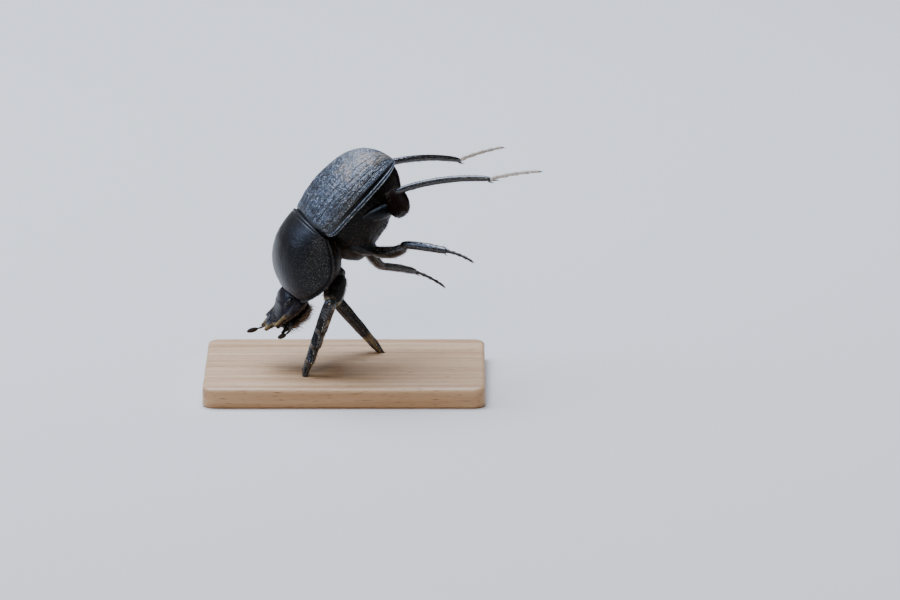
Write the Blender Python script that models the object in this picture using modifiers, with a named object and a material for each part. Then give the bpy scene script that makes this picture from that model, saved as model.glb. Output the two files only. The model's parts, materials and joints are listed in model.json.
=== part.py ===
"""Dung beetle, a large ball-rolling scarab, in its head-down pushing pose on a flat display base.

The row frame has +X to the animal's tail side, +Y to its right, +Z up, with the origin at the centre of the
base's underside. Each body region has a frame of its own: x forward, y to the animal's left, z dorsal.
"""

import math
from collections import namedtuple

import bmesh
import bpy
from mathutils import Matrix, Vector

MM = 0.001
SEAM = 0.08 * MM  # clearance between neighbouring plates of the shell
SOCKET = 0.6 * MM  # how far a limb runs on into its neighbour at each joint, before it is cut clear of it

# Display base
BASE_SIZE = Vector((42, 34, 3)) * MM
BASE_CHAMFER = 0.4 * MM

# Pose: every region turns about the vertical by YAW, and its head end dips by its own pitch
YAW = math.radians(11)
WAIST = Vector((-3.9, 0, 20.5)) * MM  # centre of the joint between prothorax and hindbody, above the base
HINDBODY_PITCH = math.radians(48)
PROTHORAX_PITCH = math.radians(71)
HEAD_PITCH = math.radians(41)
HEAD_SEAT = Vector((11.5, 0, 0.1)) * MM  # the head's origin, in the prothorax frame

# Wing cases
ELYTRA_LENGTH = 15.3 * MM
ELYTRA_HALF_WIDTH = 9.2 * MM
ELYTRA_CROWN = 5.2 * MM
ELYTRA_START = 0.14 * MM
ELYTRA_TAIL_DROP = 1.6 * MM
SHELL_WALL = 0.55 * MM

# Pronotum, measured from its hind corners
PRONOTUM_HIND_HALF_WIDTH = 8.2 * MM
PRONOTUM_HALF_WIDTH = 9.3 * MM
PRONOTUM_FRONT_HALF_WIDTH = 5.4 * MM
PRONOTUM_FRONT = 9.75 * MM
PRONOTUM_FRONT_CORNER = 10.3 * MM
PRONOTUM_HIND_ARC = 1.7 * MM
PRONOTUM_CREST = 5.55 * MM
PRONOTUM_CREST_AT = 3.2 * MM
PRONOTUM_MARGIN_DROP = 2.2 * MM

# Under the shells
CORE_INSET = SHELL_WALL + 0.3 * MM
BELLY_DEPTH = 7.3 * MM
ABDOMEN_START = 7.2 * MM  # behind the waist
STERNITES = 5
PYGIDIUM_AT = Vector((-13.7, 0, -2.9)) * MM
PYGIDIUM_TILT = math.radians(-38)

# Head
HEAD_HALF_WIDTH = 5.1 * MM
CLYPEUS_REACH = 5.6 * MM
OCCIPUT_REACH = 3.2 * MM
HEAD_CREST = 2.5 * MM
TOOTH_REACH = 1.0 * MM
TOOTH_PITCH = 360 / 13  # degrees between the six teeth of the front edge
JAWS_AT = Vector((1.2, 0, -1.75)) * MM
JAWS_RADII = Vector((2.7, 3.0, 0.85)) * MM

# Legs, in millimetres: the flank end of the coxa and the hip in their region's frame, then the thigh end, the
# start of the shin, the ankle and the toe above the base. The forelegs have no tarsi, as in life.
Leg = namedtuple("Leg", "region flank hip thigh knee ankle toe", defaults=[None])
LEGS = {
    "foreleg_left": Leg(
        region="prothorax",
        flank=(4.4, 5.2, -2.6),
        hip=(4.8, 4.0, -4.1),
        thigh=(-1.9, -9.0, 11.2),
        knee=(-2.0, -9.2, 11.3),
        ankle=(-6.1, -8.0, -0.2),
    ),
    "foreleg_right": Leg(
        region="prothorax",
        flank=(4.4, -5.2, -2.6),
        hip=(4.8, -4.0, -4.1),
        thigh=(-2.0, 7.8, 9.0),
        knee=(-2.0, 8.0, 8.6),
        ankle=(5.6, 7.3, -0.2),
    ),
    "midleg_left": Leg(
        region="hindbody",
        flank=(-1.6, 7.0, -3.0),
        hip=(-3.0, 4.4, -6.8),
        thigh=(9.4, -7.4, 19.1),
        knee=(8.9, -7.4, 19.8),
        ankle=(14.9, -12.1, 19.9),
        toe=(18.8, -14.0, 18.8),
    ),
    "midleg_right": Leg(
        region="hindbody",
        flank=(-1.6, -7.0, -3.0),
        hip=(-3.0, -4.4, -6.8),
        thigh=(5.6, 8.4, 13.0),
        knee=(5.5, 8.6, 13.0),
        ankle=(10.2, 13.1, 11.3),
        toe=(14.6, 13.5, 9.0),
    ),
    "hindleg_left": Leg(
        region="hindbody",
        flank=(-6.2, 7.9, -1.9),
        hip=(-9.8, 5.9, -4.4),
        thigh=(9.2, -13.0, 27.9),
        knee=(8.3, -12.9, 29.1),
        ankle=(21.5, -15.6, 31.4),
        toe=(28.7, -18.0, 33.1),
    ),
    "hindleg_right": Leg(
        region="hindbody",
        flank=(-6.2, -7.9, -1.9),
        hip=(-9.8, -5.9, -4.4),
        thigh=(5.5, 17.0, 26.0),
        knee=(5.2, 17.0, 26.8),
        ankle=(17.0, 23.5, 26.3),
        toe=(23.5, 26.0, 27.8),
    ),
}

# Root, elbow, start and end of the club, in the head's frame
ANTENNAE = {
    "right": ((2.4, -3.2, -0.9), (5.5, -3.5, -1.1), (6.8, -3.3, -0.2), (8.3, -3.2, 0.5)),
    "left": ((2.2, 3.2, -0.9), (3.0, 4.1, -2.0), (4.1, 3.6, -1.9), (5.4, 3.3, -1.6)),
}

BLACK_SHELL = ("black_shell", (0.018, 0.020, 0.024), 0.42)
BLACK_LIMB = ("black_limb", (0.014, 0.014, 0.017), 0.35)
BROWN_UNDERSIDE = ("brown_underside", (0.030, 0.020, 0.014), 0.50)
DUSTY_FOOT = ("dusty_foot", (0.30, 0.25, 0.21), 0.75)
AMBER_CLUB = ("amber_club", (0.16, 0.09, 0.04), 0.60)
EYE_GLOSS = ("eye_gloss", (0.008, 0.007, 0.008), 0.12)
PALE_WOOD = ("pale_wood", (0.55, 0.42, 0.29), 0.55)

beetle = bpy.data.collections.new("dung_beetle")
cutters = bpy.data.collections.new("cutters")


# ---------------------------------------------------------------- building tools


def clear_scene():
    for thing in list(bpy.data.objects):
        bpy.data.objects.remove(thing, do_unlink=True)
    for collection in (beetle, cutters):
        bpy.context.scene.collection.children.link(collection)
    cutters.hide_render = True


def finish_of(finish):
    """The Principled material named by a finish, made once."""
    name, colour, roughness = finish
    material = bpy.data.materials.get(name)
    if material is None:
        material = bpy.data.materials.new(name)
        material.use_nodes = True
        shader = material.node_tree.nodes["Principled BSDF"]
        shader.inputs["Base Color"].default_value = (*colour, 1)
        shader.inputs["Roughness"].default_value = roughness
    return material


def add_piece(name, shape, finish, frame):
    """Turns a bmesh into a named object that stands in a frame."""
    data = bpy.data.meshes.new(name)
    shape.to_mesh(data)
    shape.free()
    data.materials.append(finish_of(finish))
    data.shade_smooth()
    piece = bpy.data.objects.new(name, data)
    piece.matrix_world = frame
    beetle.objects.link(piece)
    return piece


def region_frame(origin, pitch):
    """A body region's frame: turned to face left, yawed, then pitched head down."""
    turn = Matrix.Rotation(math.pi + YAW, 4, "Z") @ Matrix.Rotation(pitch, 4, "Y")
    return Matrix.Translation(origin) @ turn


def limb_frame(start, end, broad):
    """A limb's frame: x from start to end, y as near as can be to the direction in which it is broad."""
    along = (end - start).normalized()
    thin = along.cross(broad).normalized()
    wide = thin.cross(along)
    turn = Matrix((along, wide, thin)).transposed().to_4x4()
    return Matrix.Translation(start) @ turn


def smooth(s, *values):
    """Values spaced evenly over s from 0 to 1, joined by half cosines."""
    place = min(max(s, 0.0), 1.0) * (len(values) - 1)
    i = min(int(place), len(values) - 2)
    share = (1 - math.cos(math.pi * (place - i))) / 2
    return values[i] * (1 - share) + values[i + 1] * share


def cap(s, power=5):
    """1 along the middle of a limb, rounding to 0 at both ends."""
    return max(0.0, 1 - abs(2 * s - 1) ** power) ** 0.5


def rounded(x, power):
    """A superellipse's height at x from 0, its middle, to 1, its end."""
    return max(0.0, 1 - min(abs(x), 1.0) ** power) ** 0.5


def sphere_shape(around, along, place, even=False):
    """A sphere primitive whose vertices move to place(station, angle): station 0 to 1 from pole to pole."""
    shape = bmesh.new()
    bmesh.ops.create_uvsphere(shape, u_segments=around, v_segments=along, radius=1)
    for vertex in shape.verts:
        polar = math.acos(max(-1.0, min(1.0, vertex.co.z)))
        station = polar / math.pi if even else (1 - math.cos(polar)) / 2
        vertex.co = place(station, math.atan2(vertex.co.y, vertex.co.x))
    if shape.calc_volume(signed=True) < 0:
        bmesh.ops.reverse_faces(shape, faces=shape.faces)
    return shape


def limb_piece(name, start, end, broad, finish, profile, sides=8, rings=12, even=False, socket=SOCKET):
    """A limb from start to end. profile(s) gives its right and left edges, half depth and rise at s."""
    run_on = (end - start).normalized() * socket
    start, end = start - run_on, end + run_on
    length = (end - start).length

    def place(s, angle):
        right, left, depth, rise = profile(s)
        half, middle = (left - right) / 2, (left + right) / 2
        return Vector((s * length, middle + half * math.cos(angle), rise + depth * math.sin(angle)))

    return add_piece(name, sphere_shape(sides, rings, place, even), finish, limb_frame(start, end, broad))


def as_cutter(neighbour, gap):
    """A hidden copy of a piece, grown by the gap."""
    name = f"{neighbour.name}_grown"
    if name in bpy.data.objects:
        return bpy.data.objects[name]
    cutter = bpy.data.objects.new(name, neighbour.data)
    cutter.matrix_world = neighbour.matrix_world
    grow = cutter.modifiers.new("grow", "DISPLACE")
    grow.mid_level = 0
    grow.strength = gap
    cutter.hide_render = True
    cutter.display_type = "WIRE"
    cutters.objects.link(cutter)
    return cutter


def add_boolean(piece, other, operation):
    step = piece.modifiers.new(f"{operation.lower()}_{other.name}", "BOOLEAN")
    step.operation = operation
    step.solver = "EXACT"
    step.use_self = True
    step.object = other


def cut_clear(piece, *neighbours, gap=SEAM):
    """Parts a piece from its neighbours by a thin cut."""
    for neighbour in neighbours:
        add_boolean(piece, as_cutter(neighbour, gap), "DIFFERENCE")


def add_cutter(name, shape, frame):
    """A hidden solid that only shapes other pieces."""
    data = bpy.data.meshes.new(name)
    shape.to_mesh(data)
    shape.free()
    solid = bpy.data.objects.new(name, data)
    solid.matrix_world = frame
    solid.hide_render = True
    solid.display_type = "WIRE"
    cutters.objects.link(solid)
    return solid


def box_cutter(name, low, high, frame):
    """A hidden box between two corners of a frame."""
    shape = bmesh.new()
    bmesh.ops.create_cube(shape, size=1)
    for vertex in shape.verts:
        vertex.co = [low[i] + (vertex.co[i] + 0.5) * (high[i] - low[i]) for i in range(3)]
    return add_cutter(name, shape, frame)


# ---------------------------------------------------------------- wing cases and hindbody


def elytra_width(s):
    """Half width of the closed wing cases at s, 0 at their base and 1 at the tail."""
    shoulder = 1 - 0.14 * max(0.0, 1 - s / 0.16) ** 2
    return ELYTRA_HALF_WIDTH * shoulder * rounded(max(0.0, s - 0.3) / 0.7, 2.3)


def elytra_crown(s):
    """Height of the wing cases' midline over their edge."""
    rise = 0.80 + 0.20 * math.sin(min(s / 0.45, 1) * math.pi / 2)
    return ELYTRA_CROWN * rise * rounded(max(0.0, s - 0.5) / 0.5, 3.5)


def elytra_edge(s):
    """Level of the wing cases' lower edge, which drops towards the tail."""
    return -ELYTRA_TAIL_DROP * s**2.5


def elytra_dome():
    """Both wing cases as one solid dome, flat in front and underneath."""

    def place(station, angle):
        s = max(0.0, station - 0.04) / 0.96
        s = 1 - (1 - s) ** 1.5
        fan = min(station / 0.04, 1.0)
        half = elytra_width(s) * fan
        up = max(0.0, math.sin(angle))
        across = half * math.copysign(abs(math.cos(angle)) ** 0.92, math.cos(angle))
        height = elytra_crown(s) * fan * up**0.88
        return Vector((-ELYTRA_START - s * (ELYTRA_LENGTH - ELYTRA_START), across, elytra_edge(s) + height))

    return sphere_shape(34, 20, place, even=True)


def hindbody_core():
    """The whole body under the wing cases, before it is parted into thorax, abdomen and pygidium."""
    length = ELYTRA_LENGTH + 1.3 * MM

    def place(station, angle):
        x = 1.9 * MM - station * length
        s = min(max(-x / ELYTRA_LENGTH, 0.0), 0.97)
        end = rounded(1 - 2 * station, 7)
        neck = smooth(min(max((1.9 * MM - x) / (3.4 * MM), 0.0), 1.0), 0.62, 1.0)
        half = (elytra_width(s) - CORE_INSET) * end * neck
        top = (elytra_crown(s) - CORE_INSET) * end * neck
        ring = max(0.0, -x - ABDOMEN_START) / (ELYTRA_LENGTH - ABDOMEN_START) * STERNITES
        step = 1 - 0.035 * (ring % 1) if ring > 0 else 1
        belly = BELLY_DEPTH * smooth(station, 0.94, 1.06, 1.02, 0.96, 0.87, 0.70, 0.46) * end * step
        across = math.cos(angle)
        up = math.sin(angle)
        height = top * max(up, 0) ** 0.9 - belly * max(-up, 0)
        return Vector((x, half * math.copysign(abs(across) ** 0.92, across), elytra_edge(s) + height))

    return sphere_shape(22, 19, place, even=True)


def build_hindbody(frame):
    """Thorax underside, abdomen, pygidium and wing cases, all shaped by one core, which it returns."""
    core = add_cutter("hindbody_core", hindbody_core(), frame)
    span = 12 * MM
    cut = -ABDOMEN_START
    middle = box_cutter("abdomen_span", (-24 * MM, -span, -span), (cut - SEAM / 2, span, span), frame)
    front = box_cutter("metathorax_span", (cut + SEAM / 2, -span, -span), (6 * MM, span, span), frame)
    tilted = frame @ Matrix.Translation(PYGIDIUM_AT) @ Matrix.Rotation(PYGIDIUM_TILT, 4, "Y")
    behind = box_cutter("pygidium_span", (-9 * MM, -span, -span), (-SEAM / 2, span, span), tilted)
    ahead = box_cutter("pygidium_cut", (-9 * MM, -span, -span), (SEAM / 2, span, span), tilted)
    for name, keep in (("metathorax", front), ("abdomen", middle), ("pygidium", behind)):
        piece = add_piece(name, hindbody_core(), BROWN_UNDERSIDE, frame)
        add_boolean(piece, keep, "INTERSECT")
        if name == "abdomen":
            add_boolean(piece, ahead, "DIFFERENCE")
    for side, word in ((1, "left"), (-1, "right")):
        elytron = add_piece(f"elytron_{word}", elytra_dome(), BLACK_SHELL, frame)
        near, far = sorted((side * SEAM / 2, -side * span))
        other_half = box_cutter(f"{word}_of_suture", (-24 * MM, near, -span), (6 * MM, far, span), frame)
        add_boolean(elytron, other_half, "DIFFERENCE")
        cut_clear(elytron, core, gap=CORE_INSET - SHELL_WALL)
    return core


# ---------------------------------------------------------------- prothorax


def pronotum_width(s):
    """Half width at the pronotum's outer edge, s from its hind corner, 0, to its front corner, 1."""
    hind, widest, front = PRONOTUM_HIND_HALF_WIDTH, PRONOTUM_HALF_WIDTH, PRONOTUM_FRONT_HALF_WIDTH
    if s < 0.42:
        return hind + (widest - hind) * math.sin(s / 0.42 * math.pi / 2)
    return front + (widest - front) * rounded((s - 0.42) / 0.58, 2.0)


def pronotum_edge(s):
    """Level of the outer edge, which bows downwards between the corners."""
    return -PRONOTUM_MARGIN_DROP * math.sin(math.pi * s) + 0.2 * MM * s**2


def pronotum_crest(x):
    """Height of the midline at x."""
    if x < PRONOTUM_CREST_AT:
        back = (PRONOTUM_CREST_AT - x) / (PRONOTUM_CREST_AT + PRONOTUM_HIND_ARC)
        return PRONOTUM_CREST * (1 - 0.27 * back**1.8)
    ahead = (x - PRONOTUM_CREST_AT) / (7.9 * MM)
    return PRONOTUM_CREST * max(0.0, 1 - ahead**2.4) ** 0.8


def pronotum_point(s, bend):
    """A point of the pronotum: s from back to front, bend from -1 at its right edge to 1 at its left."""
    back = -PRONOTUM_HIND_ARC * (1 - abs(bend) ** 1.8)
    front = PRONOTUM_FRONT + (PRONOTUM_FRONT_CORNER - PRONOTUM_FRONT) * abs(bend) ** 3
    x = back + (front - back) * s
    middle = -PRONOTUM_HIND_ARC + (PRONOTUM_FRONT + PRONOTUM_HIND_ARC) * s
    edge = pronotum_edge(s)
    crown = pronotum_crest(middle) - edge
    angle = bend * math.pi / 2
    across = pronotum_width(s) * math.copysign(abs(math.sin(angle)) ** 0.9, bend)
    return Vector((x, across, edge + crown * max(0.0, math.cos(angle)) ** 0.92))


def prothorax_core(station, angle):
    """The prothorax inside and below the pronotum, from neck to waist."""
    s = station
    edge = pronotum_edge(s)
    x = -1.2 * MM + (PRONOTUM_FRONT - 0.2 * MM + 1.2 * MM) * s
    end = rounded(1 - 2 * s, 9)
    half = (pronotum_width(s) - 1.5 * CORE_INSET) * end
    middle = -PRONOTUM_HIND_ARC + (PRONOTUM_FRONT + PRONOTUM_HIND_ARC) * s
    top = (pronotum_crest(middle) - edge - 1.3 * CORE_INSET) * end
    sternum = smooth(s, 1.3, 1.9, 2.1, 2.0, 1.3) * MM * end
    up = math.sin(angle)
    across = math.cos(angle)
    height = top * max(up, 0) ** 0.92 - sternum * max(-up, 0) ** 1.1
    return Vector((x, half * math.copysign(abs(across) ** 0.9, across), edge + height))


def build_pronotum(frame):
    """The neck shield: an open grid with its wall built inwards."""
    shape = bmesh.new()
    bmesh.ops.create_grid(shape, x_segments=12, y_segments=17, size=0.5)
    for vertex in shape.verts:
        vertex.co = pronotum_point(vertex.co.x + 0.5, 2 * vertex.co.y)
    shape.normal_update()
    if sum(face.normal.z * face.calc_area() for face in shape.faces) < 0:
        bmesh.ops.reverse_faces(shape, faces=shape.faces)
    piece = add_piece("pronotum", shape, BLACK_SHELL, frame)
    wall = piece.modifiers.new("wall", "SOLIDIFY")
    wall.thickness = SHELL_WALL
    wall.offset = -1


def build_prothorax(frame, hindbody):
    """The shield and the body inside and below it, which it returns."""
    build_pronotum(frame)
    core = add_piece("prosternum", sphere_shape(18, 12, prothorax_core), BROWN_UNDERSIDE, frame)
    cut_clear(core, hindbody)
    return core


# ---------------------------------------------------------------- head


def head_outline(angle, spread):
    """Radius of the head's plan at an angle from straight ahead, with its teeth at spread 1."""
    forward = math.cos(angle)
    reach = CLYPEUS_REACH if forward > 0 else OCCIPUT_REACH
    oval = 1 / math.sqrt((forward / reach) ** 2 + (math.sin(angle) / HEAD_HALF_WIDTH) ** 2)
    turn = math.degrees(abs(angle))
    tooth = 0.0
    if turn < 3 * TOOTH_PITCH:
        tooth = 1 - abs(turn % TOOTH_PITCH - TOOTH_PITCH / 2) / (TOOTH_PITCH / 2)
        tooth *= 1.0 if turn < 2 * TOOTH_PITCH else 0.6
    return oval + TOOTH_REACH * (tooth - 0.3) * spread**6


def head_top(x, y, spread):
    """The head's upper surface: a domed crown that runs out into a thin, dished clypeus."""
    ahead = max(0.0, x + 0.2 * MM) / CLYPEUS_REACH
    crown = HEAD_CREST * (1 - smooth(min(ahead / 0.85, 1), 0, 1)) * (1 - (y / HEAD_HALF_WIDTH) ** 2 * 0.7)
    rim = 0.28 * MM * rounded(spread, 8)
    return max(crown, 0) * rounded(spread, 3.0) + rim


def head_shape():
    """The head with its toothed front edge, flat underneath."""

    def place(station, angle):
        spread = 1 - abs(2 * station - 1)
        radius = head_outline(angle, spread) * spread
        x, y = radius * math.cos(angle), radius * math.sin(angle)
        if station < 0.5:
            return Vector((x, y, head_top(x, y, spread)))
        return Vector((x, y, -0.75 * MM * rounded(spread, 6)))

    return sphere_shape(52, 9, place, even=True)


def ellipsoid(name, centre, radii, finish, frame, around=12, along=8):
    """A ball primitive stretched to three radii about a centre of a frame."""
    shape = bmesh.new()
    bmesh.ops.create_uvsphere(shape, u_segments=around, v_segments=along, radius=1)
    for vertex in shape.verts:
        vertex.co = [centre[i] + radii[i] * vertex.co[i] for i in range(3)]
    return add_piece(name, shape, finish, frame)


def bent_rod(name, start, bend, end, radius, finish, sides=6, rings=9):
    """A round rod of even thickness on a curve from start to end that turns towards the bend."""

    def place(s, angle):
        middle = start * (1 - s) ** 2 + bend * 2 * s * (1 - s) + end * s**2
        along = ((bend - start) * (1 - s) + (end - bend) * s).normalized()
        side = along.cross(end - start + Vector((0, 0, 1)) * (end - start).length * 3).normalized()
        reach = radius * cap(s, 9)
        return middle + side * reach * math.cos(angle) + along.cross(side) * reach * math.sin(angle)

    return add_piece(name, sphere_shape(sides, rings, place), finish, Matrix.Identity(4))


def rod(name, start, end, radii, finish, bow=0.0, sides=6, rings=6, broad=Vector((0, 0, 1))):
    """A small round limb, such as a palp, spur, claw or antennal stalk."""

    def profile(s):
        radius = smooth(s, *radii) * cap(s, 8)
        return -radius, radius, radius, bow * 4 * s * (1 - s)

    return limb_piece(name, start, end, broad, finish, profile, sides, rings, socket=0)


def build_head(frame, prosternum):
    """Head, jaws, eyes and palps. Returns the head and the jaws, which the antennae are cut clear of."""
    head = add_piece("head", head_shape(), BLACK_SHELL, frame)
    cut_clear(head, prosternum)
    jaws = ellipsoid("mouthparts", JAWS_AT, JAWS_RADII, BROWN_UNDERSIDE, frame, 12, 6)
    cut_clear(jaws, prosternum)
    for side, word in ((1, "left"), (-1, "right")):
        centre = Vector((0.4, side * 3.6, 1.4)) * MM
        eye = ellipsoid(f"eye_{word}", centre, Vector((0.8, 0.5, 0.5)) * MM, EYE_GLOSS, frame, 10, 6)
        cut_clear(head, eye, gap=0.04 * MM)
        palp = rod(
            f"maxillary_palp_{word}",
            frame @ (Vector((2.6, side * 1.7, -1.7)) * MM),
            frame @ (Vector((4.6, side * 2.0, -1.9)) * MM),
            (0.2 * MM, 0.27 * MM, 0.3 * MM, 0.25 * MM),
            BROWN_UNDERSIDE,
        )
        cut_clear(palp, jaws)
    return head, jaws


def build_antenna(word, frame, head, jaws):
    """Stalk and club of one antenna."""
    root, elbow, club_start, club_end = (frame @ (Vector(point) * MM) for point in ANTENNAE[word])
    stalk = bent_rod(f"antenna_{word}", root, elbow, club_start, 0.27 * MM, BLACK_LIMB)
    club = rod(
        f"antenna_club_{word}",
        club_start + (club_end - club_start).normalized() * SEAM * 2,
        club_end,
        (0.26 * MM, 0.42 * MM, 0.46 * MM, 0.40 * MM),
        AMBER_CLUB,
        sides=8,
    )
    cut_clear(stalk, head, jaws, club)


# ---------------------------------------------------------------- legs


def femur_profile(width, depth):
    """A flat thigh, widest before its middle and narrow at both joints."""

    def profile(s):
        edge = smooth(s, 0.55, 0.95, 1.0, 0.92, 0.75) * cap(s, 7) * width / 2
        half_depth = smooth(s, 0.7, 1.0, 0.95, 0.85, 0.7) * cap(s, 7) * depth / 2
        return -edge, edge, half_depth, 0.0

    return profile


def fore_tibia_profile(s):
    """A digging shin, with four teeth along its outer edge and the last of them at its tip."""
    end = cap(s, 12)
    inner = smooth(s, 0.75, 0.90, 0.90, 0.80, 0.32) * MM
    outer = smooth(s, 0.70, 0.85, 0.90, 0.85, 0.45) * MM
    for tip, height in ((0.36, 0.55), (0.55, 0.8), (0.74, 1.0), (0.95, 1.0)):
        rise = (s - tip + 0.13) / 0.13
        fall = (tip + 0.045 - s) / 0.045
        outer += height * MM * max(0.0, min(rise, fall))
    depth = smooth(s, 0.65, 0.70, 0.62, 0.55, 0.34) * MM
    return -inner * end, outer * end, depth * end, 0.0


def walking_tibia_profile(start, finish, bow):
    """A slender shin that widens towards the foot and bows outwards."""

    def profile(s):
        half = smooth(s, 0.75 * start, start, start, (start + finish) / 2, finish) / 2 * cap(s, 10)
        return -half, half, half * 0.9, bow * 4 * s * (1 - s)

    return profile


def tarsus_profile(width, bow):
    """A foot of five segments, each one widening to its end."""

    def profile(s):
        segment = (s * 5) % 1 if s < 1 else 1
        half = width / 2 * (0.86 + 0.14 * segment**0.8) * cap(s, 14)
        return -half, half, half, bow * 4 * s * (1 - s)

    return profile


def build_leg(name, leg, frames, bodies, base):
    """Coxa, femur, tibia and, where the leg has one, tarsus."""
    kind, word = name.split("_")
    frame = frames[leg.region]
    above_base = Vector((0, 0, BASE_SIZE.z))
    hip = frame @ (Vector(leg.hip) * MM)
    thigh_end, knee, ankle = (Vector(p) * MM + above_base for p in (leg.thigh, leg.knee, leg.ankle))
    outwards = frame.to_3x3() @ Vector((0, 1 if word == "left" else -1, 0))
    ventral = frame.to_3x3() @ Vector((0, 0, -1))

    wide, deep = {"foreleg": (2.6, 2.2), "midleg": (2.4, 2.2), "hindleg": (2.6, 2.2)}[kind]
    flank = frame @ (Vector(leg.flank) * MM)
    reach = (hip - flank) * 1.12
    hip_block = femur_profile(wide * MM, deep * MM)
    coxa = limb_piece(f"{kind}_coxa_{word}", flank, flank + reach, ventral, BLACK_LIMB, hip_block, 10, 8)
    cut_clear(coxa, bodies[leg.region])

    width, depth = {"foreleg": (3.2, 2.0), "midleg": (2.3, 1.7), "hindleg": (4.2, 1.9)}[kind]
    thigh = femur_profile(width * MM, depth * MM)
    femur = limb_piece(f"{kind}_femur_{word}", hip, thigh_end, ventral, BLACK_LIMB, thigh, 10, 12)
    cut_clear(femur, coxa, bodies[leg.region])

    if leg.toe is None:
        digger = f"{kind}_tibia_{word}"
        shin = limb_piece(digger, knee, ankle, outwards, BLACK_LIMB, fore_tibia_profile, 8, 22, True)
        cut_clear(shin, femur, base)
        return

    thin, thick, bow = {"midleg": (0.8, 1.15, 0.15), "hindleg": (0.85, 1.0, 0.8)}[kind]
    side = Vector((0, 0, 1)).cross(ankle - knee)
    shin = walking_tibia_profile(thin * MM, thick * MM, bow * MM)
    tibia = limb_piece(f"{kind}_tibia_{word}", knee, ankle, side, BLACK_LIMB, shin, 8, 12)
    cut_clear(tibia, femur)

    toe = Vector(leg.toe) * MM + above_base
    foot = tarsus_profile(0.62 * MM, 0.25 * MM)
    tarsus = limb_piece(f"{kind}_tarsus_{word}", ankle, toe, side, DUSTY_FOOT, foot, 6, 11, True, SOCKET / 2)
    cut_clear(tarsus, tibia)


def build_base():
    """A flat plate with chamfered upper edges."""
    shape = bmesh.new()
    bmesh.ops.create_cube(shape, size=1)
    bmesh.ops.scale(shape, vec=BASE_SIZE, verts=shape.verts)
    bmesh.ops.translate(shape, vec=(0, 0, BASE_SIZE.z / 2), verts=shape.verts)
    base = add_piece("stand_base", shape, PALE_WOOD, Matrix.Identity(4))
    base.data.shade_flat()
    edge = base.modifiers.new("chamfer", "BEVEL")
    edge.width = BASE_CHAMFER
    edge.segments = 1
    edge.limit_method = "ANGLE"
    return base


def build_beetle():
    """The whole model, from the base up."""
    clear_scene()
    base = build_base()
    waist = WAIST + Vector((0, 0, BASE_SIZE.z))
    frames = {
        "hindbody": region_frame(waist, HINDBODY_PITCH),
        "prothorax": region_frame(waist, PROTHORAX_PITCH),
    }
    frames["head"] = region_frame(frames["prothorax"] @ HEAD_SEAT, HEAD_PITCH)
    core = build_hindbody(frames["hindbody"])
    prosternum = build_prothorax(frames["prothorax"], core)
    head, jaws = build_head(frames["head"], prosternum)
    for word in ANTENNAE:
        build_antenna(word, frames["head"], head, jaws)
    bodies = {"prothorax": prosternum, "hindbody": core}
    for name, leg in LEGS.items():
        build_leg(name, leg, frames, bodies, base)


build_beetle()
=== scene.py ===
"""Dung beetle on its display base: the looks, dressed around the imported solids.

A large ball-rolling scarab stands head down, as it does when it pushes its ball backwards. Every plate, limb
and bristle is a surface worked out here with numpy, in the places that the solids have. The row frame has +X
to the animal's tail side, +Y to its right and +Z up. A body region's own axes are x forward, y to the
animal's left and z dorsal. A relief's heights are in millimetres until they are multiplied by MM, and places
along a piece are shares of its length.
"""

import functools
import json
import logging
import math
from dataclasses import dataclass, field
from enum import Enum
from typing import NamedTuple

import bpy
import numpy as np
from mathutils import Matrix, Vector

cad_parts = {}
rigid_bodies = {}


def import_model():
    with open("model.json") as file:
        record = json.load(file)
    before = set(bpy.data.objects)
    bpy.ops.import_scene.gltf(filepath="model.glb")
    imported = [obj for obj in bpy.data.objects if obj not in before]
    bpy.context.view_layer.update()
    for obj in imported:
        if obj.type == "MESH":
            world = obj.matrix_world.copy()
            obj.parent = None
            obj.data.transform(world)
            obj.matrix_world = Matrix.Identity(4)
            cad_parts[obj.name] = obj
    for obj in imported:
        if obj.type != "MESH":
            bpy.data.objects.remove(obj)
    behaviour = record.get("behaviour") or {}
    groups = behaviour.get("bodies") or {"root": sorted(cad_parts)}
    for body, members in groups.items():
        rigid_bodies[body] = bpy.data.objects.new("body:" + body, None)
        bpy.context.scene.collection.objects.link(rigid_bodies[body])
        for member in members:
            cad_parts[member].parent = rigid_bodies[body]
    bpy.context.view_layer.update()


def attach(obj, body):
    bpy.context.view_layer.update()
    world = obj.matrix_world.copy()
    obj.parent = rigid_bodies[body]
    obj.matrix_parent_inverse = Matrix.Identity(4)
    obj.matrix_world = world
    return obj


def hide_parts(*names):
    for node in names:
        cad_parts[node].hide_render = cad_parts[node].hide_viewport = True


MM = 0.001
BODY = "root"
SHADER = "Principled BSDF"
BASE_TOP = 3.0 * MM
QUARTER = np.pi / 2
FULL = 2 * np.pi
SIDES = {"left": 1, "right": -1}
log = logging.getLogger("dung_beetle")

Array = np.ndarray
Place = tuple[float, float, float]
Material = bpy.types.Material
Tree = bpy.types.NodeTree
Socket = bpy.types.NodeSocket


# ---------- curves and patterns


def rounded(x: Array, power: float) -> Array:
    """Height of a superellipse, the root of one minus x to the power: 1 at x 0, falling to 0 at x 1."""
    return np.sqrt(np.clip(1 - np.clip(np.abs(x), 0, 1) ** power, 0, None))


def cap(s: Array, power: float) -> Array:
    """A limb's outline, 1 along its middle and rounding to 0 at both ends: a superellipse over its length."""
    return rounded(2 * s - 1, power)


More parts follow.
